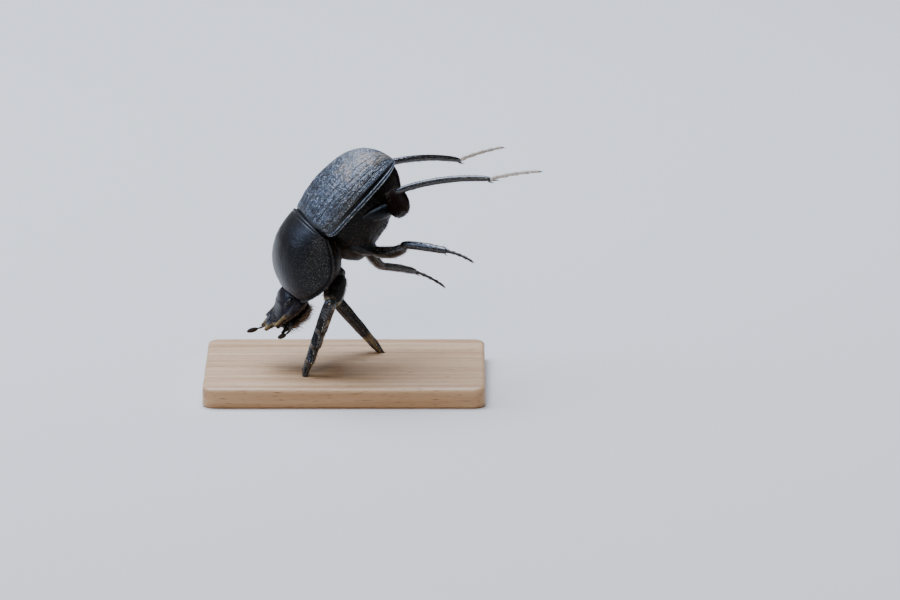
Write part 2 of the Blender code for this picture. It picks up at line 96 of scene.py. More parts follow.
def smooth(s: Array, *values: float) -> Array:
    """Values spaced evenly over s from 0 to 1, joined by half cosines.

    Args:
        s: places from 0 to 1.
        values: the value at each evenly spaced knot.

    Returns:
        The value at each place.
    """
    place = np.clip(s, 0, 1) * (len(values) - 1)
    knot = np.minimum(place.astype(int), len(values) - 2)
    share = (1 - np.cos(np.pi * (place - knot))) / 2
    levels = np.asarray(values, float)
    return levels[knot] * (1 - share) + levels[knot + 1] * share


def powered(x: Array, power: float) -> Array:
    """The size of x raised to a power, with the sign of x kept."""
    return np.sign(x) * np.abs(x) ** power


def arch(s: Array | float, height: float) -> Array | float:
    """A parabola over s, 0 at both ends and a height given in millimetres in the middle, in metres."""
    return height * MM * 4 * s * (1 - s)


def ridge(x: Array, middle: float, half: float) -> Array:
    """A soft bell, one minus the square of the distance over the half width, squared: 1 at the middle."""
    return np.clip(1 - ((x - middle) / half) ** 2, 0, None) ** 2


def lattice(i: Array, j: Array, seed: int) -> Array:
    """Repeatable random numbers from 0 to 1 for whole-number cells: the fraction left of a large sine."""
    return np.modf(np.abs(np.sin(i * 127.1 + j * 311.7 + seed * 74.7) * 43758.5453))[0]


def grains(x: Array, y: Array, pitch: float, radius: float, seed: int) -> Array:
    """Rounded grains, one in each square cell: the highest of the paraboloids around the near centres.

    Args:
        x: first coordinate, in metres.
        y: second coordinate, in metres.
        pitch: width of a cell, in metres.
        radius: radius of the largest grain, in metres.
        seed: picks the scatter.

    Returns:
        Height from 0 between the grains to 1 at their tops.
    """
    height = np.zeros_like(x)
    column, row = np.floor(x / pitch), np.floor(y / pitch)
    for i in (-1, 0, 1):
        for j in (-1, 0, 1):
            a, b = column + i, row + j
            centre_x = (a + 0.15 + 0.7 * lattice(a, b, seed)) * pitch
            centre_y = (b + 0.15 + 0.7 * lattice(a, b, seed + 1)) * pitch
            size = radius * (0.55 + 0.45 * lattice(a, b, seed + 2))
            near = ((x - centre_x) ** 2 + (y - centre_y) ** 2) / size**2
            height = np.maximum(height, np.clip(1 - near, 0, 1))
    return height


def mottle(x: Array, y: Array, pitch: float, seed: int) -> Array:
    """Soft patches: random levels at the corners of square cells, blended by half cosines.

    Args:
        x: first coordinate, in metres.
        y: second coordinate, in metres.
        pitch: width of a cell, in metres.
        seed: picks the levels.

    Returns:
        The level at each point, from 0 to 1.
    """
    column, row = np.floor(x / pitch), np.floor(y / pitch)
    across = (1 - np.cos(np.pi * (x / pitch - column))) / 2
    up = (1 - np.cos(np.pi * (y / pitch - row))) / 2
    low = lattice(column, row, seed) * (1 - across) + lattice(column + 1, row, seed) * across
    high = lattice(column, row + 1, seed) * (1 - across) + lattice(column + 1, row + 1, seed) * across
    return low * (1 - up) + high * up


def net(rows: int, columns: int) -> tuple[Array, Array]:
    """Two arrays of even parameters from 0 to 1, down the rows and across the columns of a grid."""
    return np.meshgrid(np.linspace(0, 1, rows), np.linspace(0, 1, columns), indexing="ij")


def loop_net(rows: int, sides: int) -> tuple[Array, Array]:
    """Parameters of a closed tube with even stations from 0 to 1: the stations, and angles round it."""
    u, v = net(rows, sides + 1)
    return u[:, :-1], v[:, :-1] * FULL


def ring_net(rows: int, sides: int) -> tuple[Array, Array]:
    """Parameters of a closed tube: cosine-spaced stations that miss both ends, and angles round it."""
    stations = (1 - np.cos(np.pi * (np.arange(rows) + 0.5) / rows)) / 2
    return np.meshgrid(stations, np.arange(sides) * 2 * np.pi / sides, indexing="ij")


def xyz(x: Array, y: Array, z: Array) -> Array:
    """Three arrays, or numbers, joined into points."""
    return np.stack(np.broadcast_arrays(x, y, z), axis=-1).astype(float)


def sphere(rows: int, sides: int) -> tuple[Array, Array, Array]:
    """A unit sphere as rings along x.

    Args:
        rows: rings.
        sides: points round each.

    Returns:
        Points, then the place along the sphere and the angle of each.
    """
    s, angle = ring_net(rows, sides)
    around = np.sin(np.pi * s)
    return xyz(-np.cos(np.pi * s), around * np.cos(angle), around * np.sin(angle)), s, angle


def unit(vectors: Array) -> Array:
    """The same directions at length 1: each vector over its length."""
    return vectors / np.maximum(np.linalg.norm(vectors, axis=-1, keepdims=True), 1e-15)


def facing(grid: Array, around: bool) -> Array:
    """Outward unit normals of a grid: the cross product of the differences along its two directions.

    Args:
        grid: points, rows by columns.
        around: True where the last column joins the first.

    Returns:
        A unit vector for each point.
    """
    along = np.gradient(grid, axis=0)
    across = np.roll(grid, -1, 1) - np.roll(grid, 1, 1) if around else np.gradient(grid, axis=1)
    normal = unit(np.cross(along, across))
    outwards = np.sum(normal * (grid - grid.mean(axis=(0, 1))))
    return normal if outwards > 0 else -normal


def raised(grid: Array, height: Array, around: bool = False) -> Array:
    """The grid moved along its outward normals by a height, in metres, at each point."""
    return grid + facing(grid, around) * height[..., None]


@dataclass(frozen=True)
class Axes:
    """An origin and three unit directions, one to a row, that turn own places into the row frame's."""

    origin: Array
    turn: Array

    def out(self, points: Array) -> Array:
        """Points of these axes in the row frame: the origin plus each coordinate times its direction."""
        return self.origin + np.asarray(points, float) @ self.turn

    def point(self, x: float, y: float, z: float) -> Array:
        """One point given in millimetres, in the row frame."""
        return self.out(np.array([x, y, z]) * MM)

    def way(self, x: float, y: float, z: float) -> Array:
        """A direction of these axes, at length 1, in the row frame."""
        return unit(np.array([x, y, z], float) @ self.turn)


def region_axes(origin: Array, yaw: float, pitch: float) -> Axes:
    """A body region's axes: turned to face left, yawed about the vertical, then dipped head down.

    Args:
        origin: where they start, in the row frame.
        yaw: the turn about the vertical, in radians.
        pitch: the dip, in radians.

    Returns:
        The axes.
    """
    a, b = math.pi + yaw, pitch
    about_z = np.array([[math.cos(a), -math.sin(a), 0], [math.sin(a), math.cos(a), 0], [0, 0, 1]])
    about_y = np.array([[math.cos(b), 0, math.sin(b)], [0, 1, 0], [-math.sin(b), 0, math.cos(b)]])
    return Axes(np.asarray(origin, float), (about_z @ about_y).T)


def limb_axes(start: Array, end: Array, broad: Array) -> Axes:
    """A limb's axes: x along it, y as near as can be to the direction in which it is broad.

    Args:
        start: its near end.
        end: its far end.
        broad: the direction in which it is broad.

    Returns:
        The axes, from the near end.
    """
    along = unit(end - start)
    thin = unit(np.cross(along, broad))
    return Axes(start, np.stack([along, np.cross(thin, along), thin]))


# ---------- finishes


def linear(colour: str) -> tuple[float, float, float, float]:
    """An sRGB hex colour as linear red, green, blue and a full alpha: the standard two-part sRGB curve.

    Args:
        colour: six hex digits after a hash.

    Returns:
        Four numbers from 0 to 1.
    """
    parts = [int(colour[i : i + 2], 16) / 255 for i in (1, 3, 5)]
    red, green, blue = (c / 12.92 if c <= 0.04045 else ((c + 0.055) / 1.055) ** 2.4 for c in parts)
    return red, green, blue, 1.0


def add_node(
    tree: Tree, kind: str, inputs: dict[str | int, object], output: str | int = 0, **settings: object
) -> Socket:
    """Adds one node to a material.

    Args:
        tree: the material's node tree.
        kind: the node's type, without the prefix that all of them have.
        inputs: for each socket, by name or number, a constant or the socket that feeds it.
        output: which of its outputs is wanted.
        settings: the node's own properties.

    Returns:
        That output.
    """
    node = tree.nodes.new("ShaderNode" + kind)
    for name, value in settings.items():
        setattr(node, name, value)
    for key, value in inputs.items():
        if isinstance(value, Socket):
            tree.links.new(value, node.inputs[key])
        else:
            node.inputs[key].default_value = value
    return node.outputs[output]


def blank(name: str, **sockets: object) -> tuple[Material, Tree]:
    """A new Principled material.

    Args:
        name: the material's name.
        sockets: shader inputs set to constants, with underscores for spaces.

    Returns:
        The material and its node tree.
    """
    material = bpy.data.materials.new(name)
    material.use_nodes = True
    tree = material.node_tree
    for socket, value in sockets.items():
        tree.nodes[SHADER].inputs[socket.replace("_", " ")].default_value = value
    return material, tree


def feed(tree: Tree, **sources: Socket) -> None:
    """Links sources to the shader's inputs, given with underscores for spaces."""
    for socket, source in sources.items():
        tree.links.new(source, tree.nodes[SHADER].inputs[socket.replace("_", " ")])


@dataclass(frozen=True)
class Cuticle:
    """Hardened insect cuticle, grown and never polished: satin black, with a pale haze, pits and field dust.

    The haze lies in soft patches, partly a thin waxy bloom and partly painted sky sheen, and the flecks are
    scuffs and grit on the grain tops, on the neck shield also painted glints. Both grow with a piece's
    bloom_and_sheen value, which on the wing cases, neck shield and hip blocks is painted light: stronger
    where light falls, weaker or gone in shaded grooves and gaps. The dirt is dried soil, which lies where its
    dust value is high. The pits catch the light as tiny glints, and swallow part of it, so the gloss is below
    a smooth plate's.
    """

    name: str
    shell: str = "#15161a"
    bloom_and_sheen: str = "#3c434c"
    fleck: str = "#8d9298"
    dirt: str = "#96795a"
    roughness: float = 0.40
    dirt_roughness: float = 0.95
    bloom_and_sheen_share: float = 0.5
    bloom_and_sheen_mm: float = 2.2
    fleck_share: float = 0.35
    fleck_mm: float = 0.30
    dirt_share: float = 0.8
    dirt_mm: float = 0.45
    pit_mm: float = 0.22
    pit_depth_mm: float = 0.02
    sheen: float = 0.0
    gloss: float = 0.5

    def make(self) -> Material:
        """Builds the material: haze, flecks and dirt from noise, pits as bump from the distance in cells.

        Returns:
            The finished material.
        """
        material, tree = blank(
            self.name, IOR=1.56, Specular_IOR_Level=self.gloss, Sheen_Weight=self.sheen, Sheen_Roughness=0.45,
            Sheen_Tint=linear("#c3cfdd"),
        )
        place = add_node(tree, "TexCoord", {}, "Object")
        # The bloom_and_sheen share carries painted light as well as wax and wear: it scales the haze and the
        # flecks.
        wear_and_sheen = add_node(tree, "Attribute", {}, "Fac", attribute_name="bloom_and_sheen")
        dust = add_node(tree, "Attribute", {}, "Fac", attribute_name="dust")
        colour = linear(self.shell)
        for over, size_mm, most, low, detail, rough in (
            (self.bloom_and_sheen, self.bloom_and_sheen_mm, self.bloom_and_sheen_share, 0.36, 4, 0.6),
            (self.fleck, self.fleck_mm, self.fleck_share, 0.50, 3, 0.7),
        ):
            grain = {"Vector": place, "Scale": 1 / (size_mm * MM), "Detail": detail, "Roughness": rough}
            noise = add_node(tree, "TexNoise", grain)
            span = {"Value": noise, "From Min": low, "From Max": 0.66, "To Max": most}
            patch = add_node(tree, "MapRange", span)
            share = add_node(tree, "Math", {0: patch, 1: wear_and_sheen}, operation="MULTIPLY", use_clamp=True)
            colour = add_node(tree, "Mix", {0: share, 6: colour, 7: linear(over)}, 2, data_type="RGBA")

        grain = {"Vector": place, "Scale": 1 / (self.dirt_mm * MM), "Detail": 5, "Roughness": 0.75}
        grit = add_node(tree, "TexNoise", grain)
        heap = add_node(tree, "Math", {0: grit, 1: 0.9, 2: dust}, operation="MULTIPLY_ADD")
        span = {"Value": heap, "From Min": 0.78, "From Max": 1.10, "To Max": self.dirt_share}
        soil = add_node(tree, "MapRange", span)
        colour = add_node(tree, "Mix", {0: soil, 6: colour, 7: linear(self.dirt)}, 2, data_type="RGBA")
        span = {"Value": soil, "To Min": self.roughness, "To Max": self.dirt_roughness}
        matt = add_node(tree, "MapRange", span)

        cells = add_node(tree, "TexVoronoi", {"Vector": place, "Scale": 1 / (self.pit_mm * MM)})
        pits = add_node(tree, "MapRange", {"Value": cells, "From Max": 0.55})
        relief = add_node(tree, "Math", {0: grit, 1: 0.8, 2: pits}, operation="MULTIPLY_ADD")
        bump = add_node(tree, "Bump", {"Height": relief, "Distance": self.pit_depth_mm * MM})
        feed(tree, Base_Color=colour, Roughness=matt, Normal=bump)
        return material


@dataclass(frozen=True)
class EyeLens:
    """A compound eye's cornea over dark pigment: brown-black, its gloss broken up by facets.

    Real facets are about 0.03 mm wide, too fine to show, so they are drawn at more than twice that.
    """

    name: str = "compound_eye_cornea"
    colour: str = "#120d0c"
    facet_mm: float = 0.07
    facet_depth_mm: float = 0.012

    def make(self) -> Material:
        """Builds the material: facets are the distance pattern of Voronoi cells, as bump.

        Returns:
            The finished material.
        """
        material, tree = blank(
            self.name, IOR=1.5, Specular_IOR_Level=0.3, Roughness=0.26, Base_Color=linear(self.colour)
        )
        place = add_node(tree, "TexCoord", {}, "Object")
        cells = add_node(tree, "TexVoronoi", {"Vector": place, "Scale": 1 / (self.facet_mm * MM)})
        relief = {"Height": cells, "Distance": self.facet_depth_mm * MM}
        feed(tree, Normal=add_node(tree, "Bump", relief, invert=True))
        return material


@dataclass(frozen=True)
class Bristle:
    """Insect setae, stiff hollow hairs: dark brown with paler ones among them and a soft gloss."""

    name: str
    dark: str = "#20150e"
    pale: str = "#6b4a30"
    mix_mm: float = 0.35
    pale_from: float = 0.45

    def make(self) -> Material:
        """Builds the material: noise that changes from hair to hair picks between the two browns.

        Returns:
            The finished material.
        """
        material, tree = blank(self.name, IOR=1.55, Roughness=0.48, Sheen_Weight=0.15)
        place = add_node(tree, "TexCoord", {}, "Object")
        noise = add_node(tree, "TexNoise", {"Vector": place, "Scale": 1 / (self.mix_mm * MM), "Detail": 2.0})
        span = {"Value": noise, "From Min": self.pale_from, "From Max": self.pale_from + 0.22}
        browns = {0: add_node(tree, "MapRange", span), 6: linear(self.dark), 7: linear(self.pale)}
        feed(tree, Base_Color=add_node(tree, "Mix", browns, 2, data_type="RGBA"))
        return material


@dataclass(frozen=True)
class OiledBeech:
    """Steamed beech, planed and oiled: pale pinkish brown, straight soft grain and short dark ray flecks."""

    name: str = "oiled_beech"
    light: str = "#c9a47c"
    dark: str = "#ab8259"
    fleck: str = "#7d5737"
    fleck_depth_mm: float = 0.02

    def make(self) -> Material:
        """Builds the material: noise drawn out along X for the grain, and a finer one for the flecks.

        Returns:
            The finished material.
        """
        material, tree = blank(self.name, IOR=1.47, Roughness=0.46)
        place = add_node(tree, "TexCoord", {}, "Object")
        colour = linear(self.light)
        for over, long_mm, wide_mm, detail, low, high in (
            (self.dark, 45, 1.6, 4, 0.35, 0.68),
            (self.fleck, 1.8, 0.16, 2, 0.60, 0.72),
        ):
            stretch = (1 / (long_mm * MM), 1 / (wide_mm * MM), 1 / (wide_mm * MM))
            drawn = add_node(tree, "Mapping", {"Vector": place, "Scale": stretch})
            streaks = add_node(tree, "TexNoise", {"Vector": drawn, "Scale": 1.0, "Detail": detail})
            share = add_node(tree, "MapRange", {"Value": streaks, "From Min": low, "From Max": high})
            colour = add_node(tree, "Mix", {0: share, 6: colour, 7: linear(over)}, 2, data_type="RGBA")
        flecks = {"Height": streaks, "Distance": self.fleck_depth_mm * MM, "Strength": 0.5}
        feed(tree, Base_Color=colour, Normal=add_node(tree, "Bump", flecks, invert=True))
        return material


class Finish(Enum):
    """The model's finishes. Each one's material is made at the first call for it and shared after that."""

    # Wing cases: dull blue-black under a blue-grey haze that is painted sky sheen, the tops of their wrinkles
    # scuffed pale and dusted with dry soil.
    WING = Cuticle(
        "wing_case_cuticle", shell="#070a0f", bloom_and_sheen="#273a4f", fleck="#b2b5b6", dirt="#b3a086",
        bloom_and_sheen_share=0.7, bloom_and_sheen_mm=1.6, fleck_share=0.50, fleck_mm=0.22, dirt_share=0.75, dirt_mm=0.26,
        pit_mm=0.24, sheen=0.03, gloss=0.42,
    )
    # Neck shield: smoother and blacker, its side grains flecked pale, partly with grit and partly with
    # painted glints.
    SHIELD = Cuticle(
        "neck_shield_cuticle", shell="#070505", bloom_and_sheen="#121822", fleck="#8b8c8b", dirt="#6d5a44",
        roughness=0.34, bloom_and_sheen_share=0.6, fleck_share=0.27, fleck_mm=0.16, pit_mm=0.20, pit_depth_mm=0.012,
        gloss=0.17,
    )
    # Head: violet-black and half matt, caked with yellowish soil where it digs.
    HEAD = Cuticle(
        "head_cuticle", shell="#0a070c", bloom_and_sheen="#191520", fleck="#5d574f", roughness=0.36, bloom_and_sheen_share=0.5,
        fleck_share=0.15, dirt="#937c50", dirt_share=0.85, dirt_mm=0.35, pit_mm=0.20, pit_depth_mm=0.012,
        gloss=0.14,
    )
    # Limbs: the barest and glossiest cuticle, which gives each leg a narrow bright line.
    LIMB = Cuticle(
        "limb_cuticle", shell="#050607", bloom_and_sheen="#0e1218", fleck="#4a4743", roughness=0.21, bloom_and_sheen_share=0.5,
        fleck_share=0.12, dirt="#ab9366", dirt_mm=0.40, pit_mm=0.30, pit_depth_mm=0.010, gloss=0.60,
    )
    # Hind thighs and last plate: near black with a reddish brown tint that is painted warm light, and hardly
    # a shine.
    RED_LIMB = Cuticle(
        "thigh_cuticle", shell="#0d0402", bloom_and_sheen="#190904", fleck="#2c1c13", roughness=0.42, bloom_and_sheen_share=0.6,
        fleck_share=0.12, pit_mm=0.30, pit_depth_mm=0.012, gloss=0.06,
    )
    # Belly and breast: matt and coarsely pitted, so that they stay in their own shade.
    UNDERSIDE = Cuticle(
        "underside_cuticle", shell="#060504", bloom_and_sheen="#0f0b08", fleck="#33291f", dirt="#4d3b29",
        roughness=0.42, bloom_and_sheen_share=0.6, fleck_share=0.2, dirt_share=0.4, pit_mm=0.34, pit_depth_mm=0.03,
        gloss=0.09,
    )
    # Hip blocks: as dark, with a painted grey-blue highlight along their crests.
    HIP = Cuticle(
        "hip_cuticle", shell="#060504", bloom_and_sheen="#4c5a69", fleck="#6f7982", roughness=0.36, bloom_and_sheen_share=0.5,
        bloom_and_sheen_mm=1.2, fleck_share=0.3, dirt="#4d3b29", pit_mm=0.34, gloss=0.12,
    )
    # Feet: almost hidden under pale dust.
    FOOT = Cuticle(
        "dusty_foot_cuticle", shell="#100c0a", bloom_and_sheen="#2b241e", fleck="#7d7062", dirt="#cfc4b7",
        roughness=0.5, bloom_and_sheen_share=0.7, fleck_share=0.3, dirt_share=0.95, dirt_mm=0.35, gloss=0.3,
    )
    # Feeler clubs: a brown felt too fine to part, so it is matt with a little sheen.
    CLUB = Cuticle(
        "antenna_club_felt", shell="#150e09", bloom_and_sheen="#2f2015", fleck="#6a5238", dirt="#8a6b4d",
        roughness=0.75, bloom_and_sheen_share=0.7, fleck_share=0.3, fleck_mm=0.15, pit_mm=0.12, pit_depth_mm=0.01,
        sheen=0.15, gloss=0.3,
    )
    # Hairs: near black on the body, fox brown round the mouth, paler tipped on the legs.
    DARK_HAIR = Bristle("dark_brown_setae", dark="#1c120b", pale="#5d4128")
    MOUTH_HAIR = Bristle("mouth_brush_setae", dark="#3b2818", pale="#a17d56", pale_from=0.40)
    PALE_HAIR = Bristle("leg_setae", dark="#1c130c", pale="#8f7658", pale_from=0.48)
    EYE = EyeLens()
    WOOD = OiledBeech()

    @functools.cache
    def material(self) -> Material:
        """The finish's material."""
        return self.value.make()


# ---------- meshes


class Slot(Enum):
    """The record's material slots."""

    SHELL = "black_shell"
    LIMB = "black_limb"
    UNDERSIDE = "brown_underside"
    EYE = "eye_gloss"
    CLUB = "amber_club"
    FOOT = "dusty_foot"
    WOOD = "pale_wood"


def hang(name: str, data: bpy.types.Mesh, finish: Finish, slot: Slot, *nodes: str) -> None:
    """Makes a mesh an object at the origin and hangs it on the model's one body.

    Args:
        name: the piece's name.
        data: its finished mesh.
        finish: its finish.
        slot: its material slot; not used.
        nodes: the solids that the piece replaces, if any.
    """
    data.materials.append(finish.material())
    piece = bpy.data.objects.new(name, data)
    bpy.context.scene.collection.objects.link(piece)
    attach(piece, BODY)
    if nodes:
        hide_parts(*nodes)
    log.info("%s: %d faces, for %s", name, len(data.polygons), ", ".join(nodes) or "no solid")


@dataclass
class Form:
    """A mesh in the making: closed bodies made of grids of points, each with its shares of dust and of pale
    haze and painted light.
    """

    points: list[Array] = field(default_factory=list)
    dust: list[Array] = field(default_factory=list)
    bloom_and_sheen: list[Array] = field(default_factory=list)
    faces: list[Array] = field(default_factory=list)
    count: int = 0

    def _take(self, points: Array, dust: Array | float, bloom_and_sheen: Array | float) -> Array:
        """Adds points.

        Args:
            points: the points, in any layout.
            dust: share of dust of each.
            bloom_and_sheen: share of pale haze and painted light of each.

        Returns:
            Their numbers, in the same layout.
        """
        layout = points.shape[:-1]
        numbers = np.arange(self.count, self.count + math.prod(layout)).reshape(layout)
        self.points.append(points.reshape(-1, 3))
        self.dust.append(np.broadcast_to(dust, layout).reshape(-1).astype(float))
        self.bloom_and_sheen.append(np.broadcast_to(bloom_and_sheen, layout).reshape(-1).astype(float))
        self.count += numbers.size
        return numbers

    def _close(self, parts: list[Array]) -> None:
        """Adds one closed body's faces, reversed if the body's signed volume says that they point inwards.

        Args:
            parts: faces as rows of point numbers, those with as many corners together.
        """
        places = np.concatenate(self.points)
        volume = 0.0
        for part in parts:
            for k in range(1, part.shape[1] - 1):
                a, b, c = places[part[:, 0]], places[part[:, k]], places[part[:, k + 1]]
                volume += float(np.sum(a * np.cross(b, c)))
        self.faces += [part if volume > 0 else part[:, ::-1] for part in parts]

    @staticmethod
    def _quads(numbers: Array) -> Array:
        """Four-cornered faces between neighbouring rows and columns of point numbers."""
        corners = (numbers[:-1, :-1], numbers[1:, :-1], numbers[1:, 1:], numbers[:-1, 1:])
        return np.stack(corners, -1).reshape(-1, 4)

    @staticmethod
    def _border(numbers: Array) -> Array:
        """The point numbers round a grid's edge, once round and not closed."""
        return np.concatenate([numbers[0, :-1], numbers[:-1, -1], numbers[-1, :0:-1], numbers[:0:-1, 0]])

    def tube(self, rings: Array, dust: Array | float = 0.0, bloom_and_sheen: Array | float = 1.0) -> None:
        """Adds a closed tube: rings of points joined along it, each end drawn to the mean of its last ring.

        Args:
            rings: points, rings by sides.
            dust: share of dust of each.
            bloom_and_sheen: share of pale haze and painted light of each.
        """
        numbers = self._take(rings, dust, bloom_and_sheen)
        ends = (share[-1].reshape(numbers.shape)[[0, -1]].mean(axis=1) for share in (self.dust, self.bloom_and_sheen))
        poles = self._take(rings[[0, -1]].mean(axis=1), *ends)
        loop = np.concatenate([numbers, numbers[:, :1]], axis=1)
        first, last = loop[0], loop[-1]
        start = np.stack([np.full(len(first) - 1, poles[0]), first[:-1], first[1:]], -1)
        end = np.stack([np.full(len(last) - 1, poles[1]), last[1:], last[:-1]], -1)
        self._close([self._quads(loop), start, end])

    def shell(
        self, outer: Array, inner: Array, step: int, dust: Array | float, bloom_and_sheen: Array | float
    ) -> None:
        """Adds a thin plate: an outer grid, a coarser inner grid and a rim between.

        Args:
            outer: outer points, rows by columns.
            inner: inner points, at every step-th row and column of the outer grid.
            step: outer faces to each inner one.
            dust: share of dust of the outer points.
            bloom_and_sheen: share of pale haze and painted light of the outer points.
        """
        over = self._take(outer, dust, bloom_and_sheen)
        under = self._take(inner, 0.0, 0.5)
        edge = [self._border(over), self._border(under)]
        starts = np.arange(0, len(edge[0]), step)
        long_side = np.stack([np.take(edge[0], starts + k, mode="wrap") for k in range(step + 1)], -1)
        short_side = np.stack([np.roll(edge[1], -1), edge[1]], -1)
        rim = np.concatenate([long_side, short_side], axis=1)
        self._close([self._quads(over), self._quads(under)[:, ::-1], rim])

    def ball(self, centre: Array, axes: Axes, radii: Place, rows: int, sides: int) -> None:
        """Adds an ellipsoid, a sphere's rings stretched to three radii, in millimetres, along the axes."""
        self.tube(centre + (sphere(rows, sides)[0] * np.array(radii) * MM) @ axes.turn)

    def thorn(
        self, axes: Axes, root: Array, tip: Array, toward: Array | Place, bow: float, radius: float,
        sides: int = 10,
    ) -> None:
        """Adds a curved spine: rings round a quadratic curve, thinning to a point by a power of what is left.

        Args:
            axes: the axes that the next three are given in.
            root: its near end.
            tip: its point.
            toward: the direction in which it bows.
            bow: how far the curve's middle point lies off the straight line, in millimetres.
            radius: at the root, in millimetres.
            sides: points round it.
        """
        start, end, bend = axes.out(root), axes.out(tip), axes.way(*toward) * bow * MM
        s, angle = ring_net(9, sides)
        place, rest = s[..., None], 1 - s[..., None]
        spine = start * rest**2 + ((start + end) / 2 + bend) * 2 * place * rest + end * place**2
        side = unit(np.cross(end - start, bend + np.array([0.3, 0.2, 1.0]) * 1e-6))
        other = unit(np.cross(end - start, side))
        reach = (radius * MM * (1 - s) ** 0.7)[..., None]
        self.tube(spine + reach * (np.cos(angle)[..., None] * side + np.sin(angle)[..., None] * other))

    def make(self, name: str, finish: Finish, slot: Slot, node: str, crease: float = 50.0) -> None:
        """Turns the gathered bodies into one piece in place of a solid.

        Args:
            name: the piece's name.
            finish: its finish.
            slot: its material slot.
            node: the solid that it replaces.
            crease: edges sharper than this many degrees stay sharp.
        """
        data = bpy.data.meshes.new(name)
        faces = [face for part in self.faces for face in part.tolist()]
        data.from_pydata(np.concatenate(self.points).tolist(), [], faces)
        for label, shares in (("dust", self.dust), ("bloom_and_sheen", self.bloom_and_sheen)):
            layer = data.attributes.new(label, "FLOAT", "POINT")
            layer.data.foreach_set("value", np.concatenate(shares).astype(np.float32))
        data.shade_smooth()
        data.set_sharp_from_angle(angle=math.radians(crease))
        hang(name, data, finish, slot, node)


# ---------- bristles


@dataclass(frozen=True)
class Skin:
    """A finished surface that bristles grow from: its grid, and the two parameters that laid it out."""

    grid: Array
    along: Array
    turn: Array
    around: bool = True

    def scatter(self, weight: Array, count: int, rng: np.random.Generator) -> tuple[Array, Array, Array]:
        """Picks places on the surface, the chance of each cell being its area times the weight there.

        Args:
            weight: how thickly hairs stand at each point of the grid.
            count: how many places to pick.
            rng: the source of chance.

        Returns:
            Points, outward unit normals, and each place's shares of the way down and across the grid.
        """
        weights = np.broadcast_to(weight, self.grid.shape[:2])[..., None]
        sheet = np.concatenate([self.grid, facing(self.grid, self.around), weights], axis=-1)
        if self.around:
            sheet = np.concatenate([sheet, sheet[:, :1]], axis=1)
        corner, below, beside, opposite = sheet[:-1, :-1], sheet[1:, :-1], sheet[:-1, 1:], sheet[1:, 1:]
        sides = below[..., :3] - corner[..., :3], beside[..., :3] - corner[..., :3]
        area = np.linalg.norm(np.cross(*sides), axis=-1)
        chance = (area * corner[..., 6]).ravel()
        cell = rng.choice(chance.size, count, p=chance / chance.sum())
        row, column = np.divmod(cell, area.shape[1])
        down, right = rng.random((2, count, 1))
        near = corner[row, column] * (1 - down) + below[row, column] * down
        far = beside[row, column] * (1 - down) + opposite[row, column] * down
        picked = near * (1 - right) + far * right
        place = np.stack([(row + down[:, 0]) / area.shape[0], (column + right[:, 0]) / area.shape[1]], -1)
        return picked[:, :3], unit(picked[:, 3:6]), place


@dataclass(frozen=True)
class Seta:
    """One kind of bristle: lengths and root thickness in millimetres, and how it stands.

    The lean is in degrees up from the skin, the spread is the scatter of directions, and the bend is how far
    the tip comes back to the skin, as a share of the length.
    """

    short: float
    long: float
    thick: float = 0.05
    lean: float = 35.0
    spread: float = 0.22
    bend: float = 0.25


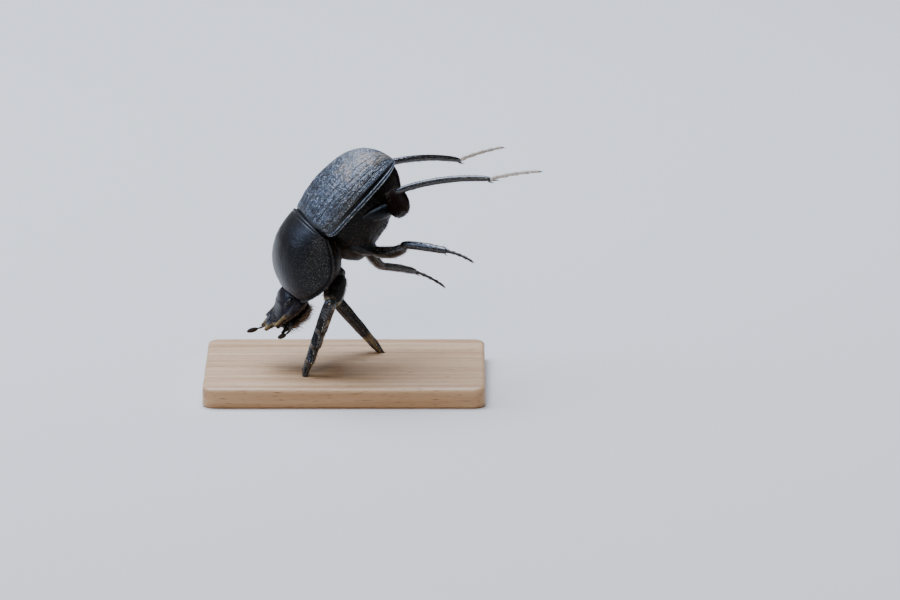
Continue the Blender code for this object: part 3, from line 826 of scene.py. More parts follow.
@dataclass
class Coat:
    """Bristles joined into one mesh, each a closed three-sided blade with its own small patch of the unwrap.

    A skin has one of the unwrap's upright strips, and a bristle's patch lies at its root's place in it.
    """

    seed: int
    strips: int = 1
    points: list[Array] = field(default_factory=list)
    patches: list[Array] = field(default_factory=list)
    patch: float = 0.003
    sunk: float = 0.03 * MM

    def grow(self, skin: Skin, weight: Array, count: int, kind: Seta, lie: Array, strip: int = 0) -> None:
        """Grows bristles: a quadratic curve from each root, three rings of three points on it and a tip.

        Args:
            skin: what they grow from.
            weight: how thickly they stand at each point of its grid.
            count: how many.
            kind: their sizes and stance.
            lie: the direction in which they lie.
            strip: which strip of the unwrap this skin has, from 0.
        """
        rng = np.random.default_rng([self.seed, len(self.points)])
        root, normal, place = skin.scatter(weight, count, rng)
        lie = np.broadcast_to(lie, root.shape)
        along = unit(lie - normal * np.sum(lie * normal, axis=-1, keepdims=True))
        lean = math.radians(kind.lean)
        way = unit(along * math.cos(lean) + normal * math.sin(lean) + rng.normal(0, kind.spread, root.shape))
        side = unit(np.cross(way, np.cross(normal, along)))
        other = np.cross(way, side)
        length = rng.uniform(kind.short, kind.long, (count, 1)) * MM
        bend = (along * 0.4 - normal) * kind.bend * length
        share = np.array([0.0, 0.45, 0.8])[:, None]
        reach = np.array([1.0, 0.75, 0.4])[:, None, None] * kind.thick / 2 * MM
        angle = (np.arange(3) * 2 * np.pi / 3)[:, None]
        foot = (root - normal * self.sunk)[:, None]
        spine = foot + (way * length)[:, None] * share + bend[:, None] * share**2
        turn = np.cos(angle) * side[:, None] + np.sin(angle) * other[:, None]
        rings = (spine[:, :, None] + reach * turn[:, None]).reshape(count, 9, 3)
        tip = root + way * length + bend
        self.points.append(np.concatenate([rings, tip[:, None]], axis=1))
        corner = np.stack([(strip + 0.02 + 0.95 * place[:, 1]) / self.strips, 0.01 + 0.98 * place[:, 0]], -1)
        spot = np.array([[k % 3 / 2, k // 3 / 3] for k in range(10)]) * self.patch
        self.patches.append(corner[:, None] + spot)

    def make(self, name: str, finish: Finish, slot: Slot) -> None:
        """Turns the bristles into one piece: two bands of three faces each, three at the tip, one below.

        Args:
            name: the piece's name.
            finish: its finish.
            slot: its material slot.
        """
        points = np.concatenate(self.points)
        first = np.arange(len(points))[:, None, None] * 10
        here, after = np.arange(3), (np.arange(3) + 1) % 3
        band = np.stack([here, after, after + 3, here + 3], -1)
        bands = (first + np.concatenate([band, band + 3])).reshape(-1, 4)
        ends = np.concatenate([np.stack([here + 6, after + 6, np.full(3, 9)], -1), [[2, 1, 0]]])
        faces = bands.tolist() + (first + ends).reshape(-1, 3).tolist()
        data = bpy.data.meshes.new(name)
        data.from_pydata(points.reshape(-1, 3).tolist(), [], faces)
        corners = np.empty(len(data.loops), dtype=np.int32)
        data.loops.foreach_get("vertex_index", corners)
        unwrap = data.uv_layers.new(name="OFBake")
        spots = np.concatenate(self.patches).reshape(-1, 2)[corners]
        unwrap.data.foreach_set("uv", spots.ravel().astype(np.float32))
        data.shade_smooth()
        hang(name, data, finish, slot)


# ---------- wing cases and hindbody


@dataclass(frozen=True)
class Pose:
    """How the body regions stand: turned by a yaw about the vertical, each dipped by its own pitch."""

    yaw: float = math.radians(11)
    waist: Place = (-3.9 * MM, 0.0, 20.5 * MM + BASE_TOP)
    hindbody_pitch: float = math.radians(48)
    prothorax_pitch: float = math.radians(71)
    head_pitch: float = math.radians(41)
    head_seat: Place = (11.5 * MM, 0.0, 0.1 * MM)

    def hindbody(self) -> Axes:
        """Axes of the hindbody, from the waist."""
        return region_axes(self.waist, self.yaw, self.hindbody_pitch)

    def prothorax(self) -> Axes:
        """Axes of the prothorax, from the waist."""
        return region_axes(self.waist, self.yaw, self.prothorax_pitch)

    def head(self) -> Axes:
        """Axes of the head, from its seat at the front of the prothorax."""
        return region_axes(self.prothorax().out(self.head_seat), self.yaw, self.head_pitch)


class Sheet(NamedTuple):
    """A wing case laid flat, to put patterns on.

    It holds the share of the way to the tail, the places along and across in metres, the share of the way out
    from the suture, and the rise over the outer edge in millimetres.
    """

    s: Array
    x: Array
    y: Array
    across: Array
    rise: Array


@dataclass(frozen=True)
class Hindbody:
    """The wing cases and what they cover: two shells over a metathorax, an abdomen and its last plate."""

    axes: Axes
    length: float = 15.3 * MM
    half_width: float = 9.2 * MM
    crown: float = 5.2 * MM
    start: float = 0.14 * MM
    tail_drop: float = 1.6 * MM
    corner_rise: float = 0.9 * MM
    wall: float = 0.55 * MM
    inner_step: int = 4
    inset: float = 0.85 * MM
    neck: float = 1.9 * MM
    tail_room: float = 1.3 * MM
    belly: float = 7.3 * MM
    abdomen_at: float = 7.2 * MM
    gap: float = 0.08 * MM
    sternites: int = 5
    sternite_step: float = 0.035
    striae: int = 8
    pygidium_at: Place = (-13.7 * MM, 0.0, -2.9 * MM)
    pygidium_tilt: float = math.radians(-38)

    def width_at(self, s: Array) -> Array:
        """Half width at s, 0 at the base and 1 at the tail: a superellipse, drawn in at the shoulder."""
        shoulder = 1 - 0.14 * np.clip(1 - s / 0.16, 0, None) ** 2
        return self.half_width * shoulder * rounded(np.clip(s - 0.3, 0, None) / 0.7, 2.3)

    def crown_at(self, s: Array) -> Array:
        """Height of the midline over the edge: a sine rise to the middle, then a superellipse to the tail."""
        rise = 0.80 + 0.20 * np.sin(np.minimum(s / 0.45, 1) * QUARTER)
        return self.crown * rise * rounded(np.clip(s - 0.5, 0, None) / 0.5, 3.5)

    def edge_at(self, s: Array) -> Array:
        """Level of the lower edge, dropping towards the tail as s to the power 2.5."""
        return -self.tail_drop * s**2.5

    def dome(self, s: Array, arc: Array, side: int, wall: float) -> Array:
        """A point of a wing case: across by an arc's cosine and up by its sine, each to a power near one.

        Args:
            s: from 0 at the base to 1 at the tail.
            arc: angle from 0 at the outer edge to a right angle at the suture.
            side: 1 for the left case, -1 for the right.
            wall: how far the surface lies inside the outer one.

        Returns:
            Points in the hindbody's own axes.
        """
        half = np.maximum(self.width_at(s) - wall, self.width_at(s) * 0.4)
        crown = np.maximum(self.crown_at(s) - wall, self.crown_at(s) * 0.4)
        across = self.gap / 2 + (half - self.gap / 2) * np.cos(arc) ** 0.92
        corner = self.corner_rise * np.clip(1 - s / 0.09, 0, None) ** 2 * np.cos(arc) ** 2
        height = self.edge_at(s) + corner + crown * np.sin(arc) ** 0.88
        return xyz(-self.start - s * (self.length - self.start), side * across, height)

    def relief(self, sheet: Sheet) -> tuple[Array, Array, Array]:
        """Height of a wing case's own relief, in metres, its share of wear and painted light, and how dusty
        each point of it is.

        Fine furrows run the length of it, and the bands between them are wrinkled and grainy, worn palest on
        the tops and painted darker in the furrows as shade. Along the outer edge lie two narrow pale lips
        with a dark line between them, then a deep furrow painted dark as shade. A painted sheen brightens the
        rear of the back and a painted shadow darkens the base, where it meets the neck shield. Knobs mark the
        shoulder and the rear.
        Dust lies in speckled patches on the rear of the back, and thinly along the lips.

        Args:
            sheet: the case laid flat.

        Returns:
            The height, the share of dust and the share of wear and painted light at each point.
        """
        s, x, y, across, rise = sheet
        band = across * (self.striae + 1) + 0.10 * (mottle(x, y, 1.3 * MM, 2) - 0.5)
        off_furrow = np.abs((band + 0.5) % 1 - 0.5)
        furrows = np.clip(1 - (off_furrow / 0.10) ** 2, 0, None) * (band > 0.5)
        bands = np.clip(1 - ((band % 1) - 0.5) ** 2 * 4, 0, None)
        crumple = 1 - np.abs(2 * mottle(x, y * 0.55, 0.50 * MM, 3) - 1)
        fine = 1 - np.abs(2 * mottle(x + y * 0.3, y, 0.28 * MM, 5) - 1)
        tops = 0.48 * crumple + 0.26 * fine + 0.42 * grains(x, y, 0.36 * MM, 0.17 * MM, 11)
        inner = np.clip(rise - 1.05, 0, 0.4) / 0.4
        ends = rounded(2 * s - 1, 10)
        lip, upper_lip, line = ridge(rise, 0.12, 0.15), ridge(rise, 0.52, 0.17), ridge(rise, 0.32, 0.09)
        deep = ridge(rise, 0.90, 0.28) ** 0.6 * smooth((s - 0.06) / 0.4, 0.15, 1.0)
        front = -0.38 * np.clip(1 - s / 0.045, 0, 1) ** 2
        shoulder = 0.20 * ridge(s, 0.10, 0.09) * ridge(across, 0.72, 0.12)
        knobs = shoulder + 0.16 * ridge(s, 0.88, 0.07) * ridge(across, 0.55, 0.18)
        back = inner * ends * (0.13 * tops + 0.03 * bands - 0.04 * furrows - 0.08)
        edge = 0.12 * lip + 0.13 * upper_lip - 0.08 * line - 0.38 * deep + 0.07 * ridge(across, 0.015, 0.03)

        # Painted light: pale wear on the wrinkle tops, less in the furrows and none in the deep furrow as
        # painted shade, high on the lips, raised on the rear as painted sheen and taken away at the base as
        # painted shadow.
        wear_and_sheen = (0.14 + 3.1 * np.clip(tops - 0.38, 0, 1) * (0.45 + 0.75 * bands) - 0.5 * furrows) * inner
        wear_and_sheen = wear_and_sheen + 0.30 * (1 - inner) + 2.4 * lip + 2.2 * upper_lip - 1.5 * deep
        wear_and_sheen = (wear_and_sheen + 0.5 * ridge(s, 0.85, 0.45) * inner) * smooth(s / 0.06, 0, 1)

        specks = mottle(x * 0.7, y, 0.33 * MM, 7) * (0.35 + 0.65 * mottle(x * 0.7, y, 1.6 * MM, 8))
        rear = (0.24 + 0.42 * specks) * smooth((s - 0.25) / 0.4, 0, 1) * ridge(across, 0.36, 0.62) ** 0.5
        dust = rear + 0.16 * ridge(rise, 0.3, 0.45) + 0.14 * ridge(s, 0.86, 0.22) * ridge(across, 0.30, 0.40)
        return (back + ends * edge + front + knobs) * MM, dust, np.clip(wear_and_sheen, 0, 2.6)

    def wing_case(self, word: str, side: int) -> None:
        """Builds one wing case as a thin shell with all its relief on the outside.

        Args:
            word: the side's name.
            side: 1 for the left case, -1 for the right.
        """
        u, v = net(181, 281)
        s = (1 - (1 - u) ** 1.5) * 0.9998
        arc = QUARTER * (1 - v) ** 1.35
        across = 1 - arc / QUARTER
        rise = np.sin(arc) ** 0.88 * self.crown / MM
        sheet = Sheet(s, s * self.length, across * self.half_width * 1.25, across, rise)
        height, *shares = self.relief(sheet)
        outer = self.axes.out(raised(self.dome(s, arc, side, 0.0), height))
        step = self.inner_step
        inner = self.axes.out(self.dome(s[::step, ::step], arc[::step, ::step], side, self.wall))
        form = Form()
        form.shell(outer, inner, step, *shares)
        form.make(f"elytron_{word}_shell", Finish.WING, Slot.SHELL, f"elytron_{word}")

    def core(self, station: Array, angle: Array) -> Array:
        """A point of the body under the wing cases, in its own axes.

        The section is two half ellipses with slightly squared corners: the upper one follows the wing cases'
        crown less their inset, the lower one the belly's depth, with a step at each belly plate.

        Args:
            station: from 0 at the neck to 1 at the tail.
            angle: 0 at the left edge, a right angle at the back.

        Returns:
            Points in the hindbody's own axes.
        """
        x = self.neck - station * (self.length + self.tail_room)
        s = np.clip(-x / self.length, 0, 0.97)
        end = rounded(1 - 2 * station, 7)
        neck = smooth(np.clip((self.neck - x) / (3.4 * MM), 0, 1), 0.62, 1.0)
        half = (self.width_at(s) - self.inset) * end * neck
        top = (self.crown_at(s) - self.inset) * end * neck
        step = 1 - self.sternite_step * (self.sternite(x) % 1)
        belly = self.belly * smooth(station, 0.94, 1.06, 1.02, 0.96, 0.87, 0.70, 0.46) * end * step
        up = np.sin(angle)
        height = top * np.clip(up, 0, None) ** 0.9 - belly * np.clip(-up, 0, None)
        return xyz(x, half * powered(np.cos(angle), 0.92), self.edge_at(s) + height)

    def sternite(self, x: Array) -> Array:
        """How many belly plates lie in front of a place along the body."""
        return np.clip(-x - self.abdomen_at, 0, None) / (self.length - self.abdomen_at) * self.sternites

    def station_of(self, x: float) -> float:
        """The station of a place along the body."""
        return (self.neck - x) / (self.length + self.tail_room)

    def cut_station(self, angle: Array, clearance: float) -> Array:
        """Where each line along the body crosses the tilted plane between the abdomen and the last plate.

        The distance in front of the plane is a turned x coordinate, and halving the span 40 times finds the
        place.

        Args:
            angle: the line's angle round the body.
            clearance: how far in front of the plane to stop, in metres.

        Returns:
            The station of each crossing.
        """
        c, s = math.cos(self.pygidium_tilt), math.sin(self.pygidium_tilt)
        low, high = np.full_like(angle, 0.5), np.full_like(angle, 1.0)
        for _ in range(40):
            middle = (low + high) / 2
            offset = self.core(middle, angle) - np.array(self.pygidium_at)
            ahead = c * offset[..., 0] - s * offset[..., 2] > clearance
            low, high = np.where(ahead, middle, low), np.where(ahead, high, middle)
        return low

    def grainy(self, station: Array, angle: Array, seed: int) -> Array:
        """Coarse pits and grains of the underside: scattered grains, sunk, over soft patches.

        Args:
            station: from 0 at the neck to 1 at the tail.
            angle: angle round the body.
            seed: picks the scatter.

        Returns:
            Height, in metres.
        """
        x, y = station * self.length, angle * 6 * MM
        pits = grains(x, y, 0.55 * MM, 0.22 * MM, seed)
        return (0.05 * mottle(x, y, 0.5 * MM, seed) - 0.07 * pits) * MM

    def metathorax(self) -> Skin:
        """Builds the body from the neck to the abdomen, with sutures round its side plates and breastplate.

        Returns:
            Its surface, for the bristles.
        """
        u, angle = ring_net(90, 160)
        station = u * self.station_of(-self.abdomen_at + self.gap / 2)
        low = (angle + np.pi) % FULL - np.pi
        side = np.abs(np.abs(low + QUARTER) - QUARTER)
        plates = 0.14 * ridge(side, 0.34 + 0.12 * u, 0.03) + 0.12 * ridge(u, 0.36, 0.012) * (side < 0.34)
        breast = 0.12 * ridge(side, 1.0 - 0.25 * u, 0.03) * (u > 0.35) + 0.1 * ridge(side, QUARTER, 0.03)
        sutures = (plates + breast) * (np.sin(angle) < 0) * rounded(1 - 2 * u, 6) * MM
        height = self.grainy(station, angle, 21) - sutures
        skin = Skin(self.axes.out(raised(self.core(station, angle), height, True)), station, angle)
        form = Form()
        form.tube(skin.grid, 0.12)
        form.make("metathorax_plates", Finish.UNDERSIDE, Slot.UNDERSIDE, "metathorax")
        return skin

    def abdomen(self) -> Skin:
        """Builds the abdomen, each belly plate standing over the next with a groove at its edge.

        Returns:
            Its surface, for the bristles.
        """
        u, angle = loop_net(90, 160)
        first = self.station_of(-self.abdomen_at - self.gap / 2)
        station = first + (self.cut_station(angle, self.gap / 2) - first) * u
        points = self.core(station, angle)
        plate = self.sternite(points[..., 0])
        seam = -0.16 * ridge(plate % 1, 0.0, 0.10) - 0.10 * ridge(plate % 1, 1.0, 0.05)
        height = self.grainy(station, angle, 31) + seam * (np.sin(angle) < 0.05) * (u > 0.02) * MM
        skin = Skin(self.axes.out(raised(points, height * (u < 0.98), True)), plate, angle)
        form = Form()
        form.tube(skin.grid, 0.1)
        form.make("abdomen_plates", Finish.UNDERSIDE, Slot.UNDERSIDE, "abdomen")
        return skin

    def pygidium(self) -> None:
        """Builds the last plate of the back, behind the tilted plane, with a rim along its edge."""
        u, angle = loop_net(40, 120)
        first = self.cut_station(angle, -self.gap / 2)
        station = first + (0.9985 - first) * (1 - (1 - u) ** 2)
        rim, groove = 0.12 * ridge(u, 0.10, 0.07) * MM, 0.08 * ridge(u, 0.24, 0.07) * MM
        height = self.grainy(station, angle, 41) + rim - groove
        rings = raised(self.core(station, angle), height * (u > 0) * (u < 0.9), True)
        form = Form()
        form.tube(self.axes.out(rings), 0.15)
        form.make("pygidium_plate", Finish.RED_LIMB, Slot.UNDERSIDE, "pygidium")

    def setae(self, breast: Skin, belly: Skin) -> None:
        """Grows the breast's brush, thickest round the hips, and a row of short bristles on each belly plate.

        Args:
            breast: the metathorax's surface.
            belly: the abdomen's surface.
        """
        below = np.clip(-np.sin(breast.turn), 0, 1)
        brush = below**0.5 * (0.25 + mottle(breast.along * 20 * MM, breast.turn * 6 * MM, 1.5 * MM, 25))
        coat = Coat(101)
        coat.grow(breast, brush, 3600, Seta(0.30, 0.75, 0.04, 24), self.axes.way(-1, 0, -0.2))
        coat.make("metathorax_setae", Finish.DARK_HAIR, Slot.UNDERSIDE)
        under = np.clip(-np.sin(belly.turn) + 0.2, 0, 1)
        rows = under * (0.10 + ridge(belly.along % 1, 0.16, 0.12))
        coat = Coat(102)
        coat.grow(belly, rows, 2200, Seta(0.18, 0.42, 0.035, 20), self.axes.way(-1, 0, 0))
        coat.make("abdomen_setae", Finish.DARK_HAIR, Slot.UNDERSIDE)

    def build(self) -> None:
        """Builds both wing cases, the three parts under them and their bristles."""
        for word, side in SIDES.items():
            self.wing_case(word, side)
        self.setae(self.metathorax(), self.abdomen())
        self.pygidium()


# ---------- prothorax


@dataclass(frozen=True)
class Prothorax:
    """The neck shield and the body inside and below it, measured from the shield's hind corners."""

    axes: Axes
    hind_half_width: float = 8.2 * MM
    half_width: float = 9.3 * MM
    widest: float = 0.42
    narrowing: float = 0.58
    front_half_width: float = 5.4 * MM
    front: float = 9.75 * MM
    front_corner: float = 10.3 * MM
    hind_arc: float = 1.7 * MM
    crest: float = 5.55 * MM
    crest_place: float = 3.2 * MM
    brow: float = 7.9 * MM
    margin_drop: float = 2.2 * MM
    corner_rise: float = 0.2 * MM
    wall: float = 0.55 * MM
    inner_step: int = 4
    inset: float = 0.85 * MM
    knob_pitch: float = 0.46 * MM

    def width_at(self, s: Array) -> Array:
        """Half width of the shield: a sine out to the widest place, then a quarter circle in.

        Args:
            s: 0 at the hind corner and 1 at the front one.

        Returns:
            The half width, in metres.
        """
        swelling = np.sin(s / self.widest * QUARTER)
        out = self.hind_half_width + (self.half_width - self.hind_half_width) * swelling
        back_in = rounded(np.clip((s - self.widest) / self.narrowing, 0, 1), 2.0)
        ahead = self.front_half_width + (self.half_width - self.front_half_width) * back_in
        return np.where(s < self.widest, out, ahead)

    def edge_at(self, s: Array) -> Array:
        """Level of the outer edge: a sine's bow downwards between the corners."""
        return -self.margin_drop * np.sin(np.pi * s) + self.corner_rise * s**2

    def crest_at(self, s: Array) -> Array:
        """Height of the midline, highest at the crest's place and falling to both ends by a power.

        Args:
            s: 0 at the midline's hind end and 1 at its front one.

        Returns:
            The height, in metres.
        """
        x = -self.hind_arc + (self.front + self.hind_arc) * s
        back = np.clip((self.crest_place - x) / (self.crest_place + self.hind_arc), 0, None)
        ahead = np.clip((x - self.crest_place) / self.brow, 0, None)
        return self.crest * (1 - 0.27 * back**1.8) * np.clip(1 - ahead**2.4, 0, None) ** 0.8

    def shield_point(self, s: Array, bend: Array, wall: float) -> Array:
        """A point of the shield: across by the sine and up by the cosine of a bend, between curved ends.

        Args:
            s: from 0 at the back to 1 in front.
            bend: from -1 at the right edge to 1 at the left one.
            wall: how far the surface lies inside the outer one.

        Returns:
            Points in the prothorax's own axes.
        """
        back = -self.hind_arc * (1 - np.abs(bend) ** 1.8)
        front = self.front + (self.front_corner - self.front) * np.abs(bend) ** 3
        edge = self.edge_at(s)
        crown = np.maximum(self.crest_at(s) - edge - wall, 0.15 * MM)
        angle = bend * np.pi / 2
        across = (self.width_at(s) - wall) * powered(np.sin(angle), 0.9)
        return xyz(back + (front - back) * s, across, edge + crown * np.clip(np.cos(angle), 0, None) ** 0.92)

    def shield_relief(self, s: Array, bend: Array, rise: Array) -> tuple[Array, Array]:
        """Height of the shield's relief, in metres, and its share of pale haze, wear and painted light at
        each point.

        A bead runs round the edge, notched into small pale knobs at the sides. Fine grains cover the disc and
        grow coarser towards the sides, where their tops are flecked pale with grit and painted glints, and a
        shallow dent lies in each side. The haze fades towards the front, which hangs lowest, as painted
        shade, and the groove inside the bead is painted darker as shade.

        Args:
            s: place from back to front.
            bend: place from side to side.
            rise: height over the side edge, in millimetres.

        Returns:
            The height and the share of haze, wear and painted light at each point.
        """
        x, y = s * (self.front + self.hind_arc), bend * self.half_width * 1.35
        bead, groove = ridge(rise, 0.16, 0.20), ridge(rise, 0.44, 0.16)
        knobs = 0.5 + 0.5 * np.cos(x / self.knob_pitch * 2 * np.pi)
        side_bead = bead * (0.10 + 0.09 * knobs) - 0.10 * groove
        hind_bead = 0.07 * ridge(s, 0.012, 0.016) - 0.05 * ridge(s, 0.038, 0.014)
        ends = hind_bead + 0.08 * ridge(s, 0.985, 0.018) - 0.06 * ridge(s, 0.955, 0.016)
        flank = np.clip(np.abs(bend) * 1.2 + s * 0.35 - 0.30, 0.15, 1.0)
        inside = np.clip(rise - 0.6, 0, 0.3) / 0.3 * rounded(2 * s - 1, 14)
        grain = grains(x, y, 0.28 * MM, 0.125 * MM, 51) * flank
        waves = 0.05 * mottle(x, y, 1.6 * MM, 52) + 0.02 * mottle(x, y, 0.3 * MM, 53)
        dent = -0.16 * ridge(s, 0.42, 0.10) * ridge(np.abs(bend), 0.72, 0.07)
        # Painted light: glints and grit on the side grains, haze fading to the front as painted shade, less
        # in the groove as painted shade.
        grit_and_glints = inside * 9.0 * grain**2 * np.clip(np.abs(bend) * 1.8 - 0.2, 0, 1) * (1 - 0.7 * s)
        wear_and_sheen = 0.40 * (1 - 0.8 * s) + grit_and_glints + 3.0 * bead * knobs - 0.3 * groove
        return (side_bead + ends + inside * (0.08 * grain + waves + dent)) * MM, wear_and_sheen

    def shield(self) -> Skin:
        """Builds the neck shield as a thin shell with its relief on the outside.

        Returns:
            Its surface, for the bristles.
        """
        s, v = net(201, 301)
        t = 2 * v - 1
        bend = 1.25 * t - 0.25 * t**3
        plain = self.shield_point(s, bend, 0.0)
        rise = (plain[..., 2] - self.edge_at(s)) / MM
        height, bloom_and_sheen = self.shield_relief(s, bend, rise)
        skin = Skin(self.axes.out(raised(plain, height)), s, bend, False)
        step = self.inner_step
        inner = self.shield_point(s[::step, ::step], bend[::step, ::step], self.wall)
        form = Form()
        form.shell(skin.grid, self.axes.out(inner), step, 0.02 + 0.16 * ridge(rise, 0.2, 0.5), bloom_and_sheen)
        form.make("pronotum_shield", Finish.SHIELD, Slot.SHELL, "pronotum")
        return skin

    def core(self, s: Array, angle: Array) -> Array:
        """A point of the body under the shield: its upper half follows the shield, the lower one is shallow.

        Args:
            s: from 0 at the waist to 1 at the neck.
            angle: 0 at the left edge, a right angle at the back.

        Returns:
            Points in the prothorax's own axes.
        """
        end = rounded(1 - 2 * s, 9)
        edge = self.edge_at(s)
        half = (self.width_at(s) - 1.5 * self.inset) * end
        top = (self.crest_at(s) - edge - 1.3 * self.inset) * end
        keel = smooth(s, 1.3, 1.9, 2.1, 2.0, 1.3) * MM * end
        up = np.sin(angle)
        height = top * np.clip(up, 0, None) ** 0.92 - keel * np.clip(-up, 0, None) ** 1.1
        x = -1.2 * MM + (self.front + 1.0 * MM) * s
        return xyz(x, half * powered(np.cos(angle), 0.9), edge + height)

    def underside(self) -> Skin:
        """Builds the prosternum, grainy, with a raised keel along its middle and a groove before the neck.

        Returns:
            Its surface, for the bristles.
        """
        s, angle = ring_net(110, 160)
        x, y = s * self.front, angle * 5 * MM
        grain = 0.05 * grains(x, y, 0.42 * MM, 0.2 * MM, 61) + 0.05 * mottle(x, y, 0.6 * MM, 62)
        keel = 0.30 * ridge(np.cos(angle), 0.0, 0.22) * ridge(s, 0.45, 0.4) - 0.12 * ridge(s, 0.80, 0.03)
        height = grain * rounded(2 * s - 1, 6) + keel * np.clip(-np.sin(angle), 0, 1)
        skin = Skin(self.axes.out(raised(self.core(s, angle), height * MM, True)), s, angle)
        form = Form()
        form.tube(skin.grid, 0.1)
        form.make("prosternum_plates", Finish.UNDERSIDE, Slot.UNDERSIDE, "prosternum")
        return skin

    def setae(self, shield: Skin, breast: Skin) -> None:
        """Grows a sparse fringe under the shield's side edges and a brush on the breast, longest at the neck.

        Args:
            shield: the shield's surface.
            breast: the prosternum's surface.
        """
        coat = Coat(111, strips=2)
        fringe = Seta(0.25, 0.55, 0.035, 5, 0.25, 0.1)
        for strip, side in enumerate((-1, 1)):
            edge = (shield.turn * side > 0.985) * rounded(2 * shield.along - 1, 6)
            coat.grow(shield, edge, 330, fringe, self.axes.way(-0.2, side * 0.8, -1), strip)
        coat.make("pronotum_fringe_setae", Finish.DARK_HAIR, Slot.SHELL)
        below = np.clip(-np.sin(breast.turn), 0, 1) ** 0.5
        neck = below * ridge(breast.along, 0.95, 0.10)
        coat = Coat(112, strips=2)
        coat.grow(breast, below, 2600, Seta(0.30, 0.70, 0.04, 26), self.axes.way(-1, 0, -0.3), 0)
        coat.grow(breast, neck, 900, Seta(0.6, 1.2, 0.045, 38), self.axes.way(0.5, 0, -1), 1)
        coat.make("prosternum_setae", Finish.DARK_HAIR, Slot.UNDERSIDE)

    def build(self) -> None:
        """Builds the shield, the body inside it and their bristles."""
        self.setae(self.shield(), self.underside())


# ---------- head


@dataclass(frozen=True)
class Antenna:
    """One feeler: root, elbow, start and end of its club, in millimetres in the head's axes."""

    word: str
    root: Place
    elbow: Place
    club: Place
    tip: Place
    radius: float = 0.24 * MM
    joints: int = 5
    first_joint: float = 0.52
    beads: float = 0.48
    leaves: int = 3
    leaf_gap: float = 0.17 * MM

    def build(self, axes: Axes) -> None:
        """Builds a long first joint and five beads on a quadratic curve, then a club of three closed leaves.

        Args:
            axes: the head's axes.
        """
        root, elbow, club, tip = (axes.point(*at) for at in (self.root, self.elbow, self.club, self.tip))
        s, angle = ring_net(70, 16)
        beyond = np.clip(s - self.first_joint, 0, self.beads) / self.beads
        bead = 0.55 + 0.2 * np.abs(np.sin(beyond * self.joints * np.pi)) ** 0.6
        stalk = smooth(s / self.first_joint, 0.7, 0.8, 0.85, 0.95, 0.65)
        radius = self.radius * np.where(s < self.first_joint, stalk, bead)
        place, rest = s[..., None], 1 - s[..., None]
        spine = root * rest**2 + elbow * 2 * place * rest + club * place**2
        along = unit((elbow - root) * rest + (club - elbow) * place)
        side = unit(np.cross(along, axes.way(0.2, 0.1, 1.0)))
        turn = np.cos(angle)[..., None] * side + np.sin(angle)[..., None] * np.cross(along, side)
        form = Form()
        form.tube(spine + (radius * cap(s, 9))[..., None] * turn, 0.25)
        form.make(f"antenna_{self.word}_stalk", Finish.LIMB, Slot.LIMB, f"antenna_{self.word}")

        body = limb_axes(club, tip, axes.way(0, 0, 1))
        length = float(np.linalg.norm(tip - club)) / MM
        form = Form()
        for leaf in range(self.leaves):
            middle = club + (tip - club) * (0.44 + 0.04 * leaf) + body.way(0, 0, leaf - 1) * self.leaf_gap
            form.ball(middle, body, (length * (0.52 - 0.04 * abs(leaf - 1)), 0.34, 0.12), 28, 28)
        form.make(f"antenna_{self.word}_club", Finish.CLUB, Slot.CLUB, f"antenna_club_{self.word}")


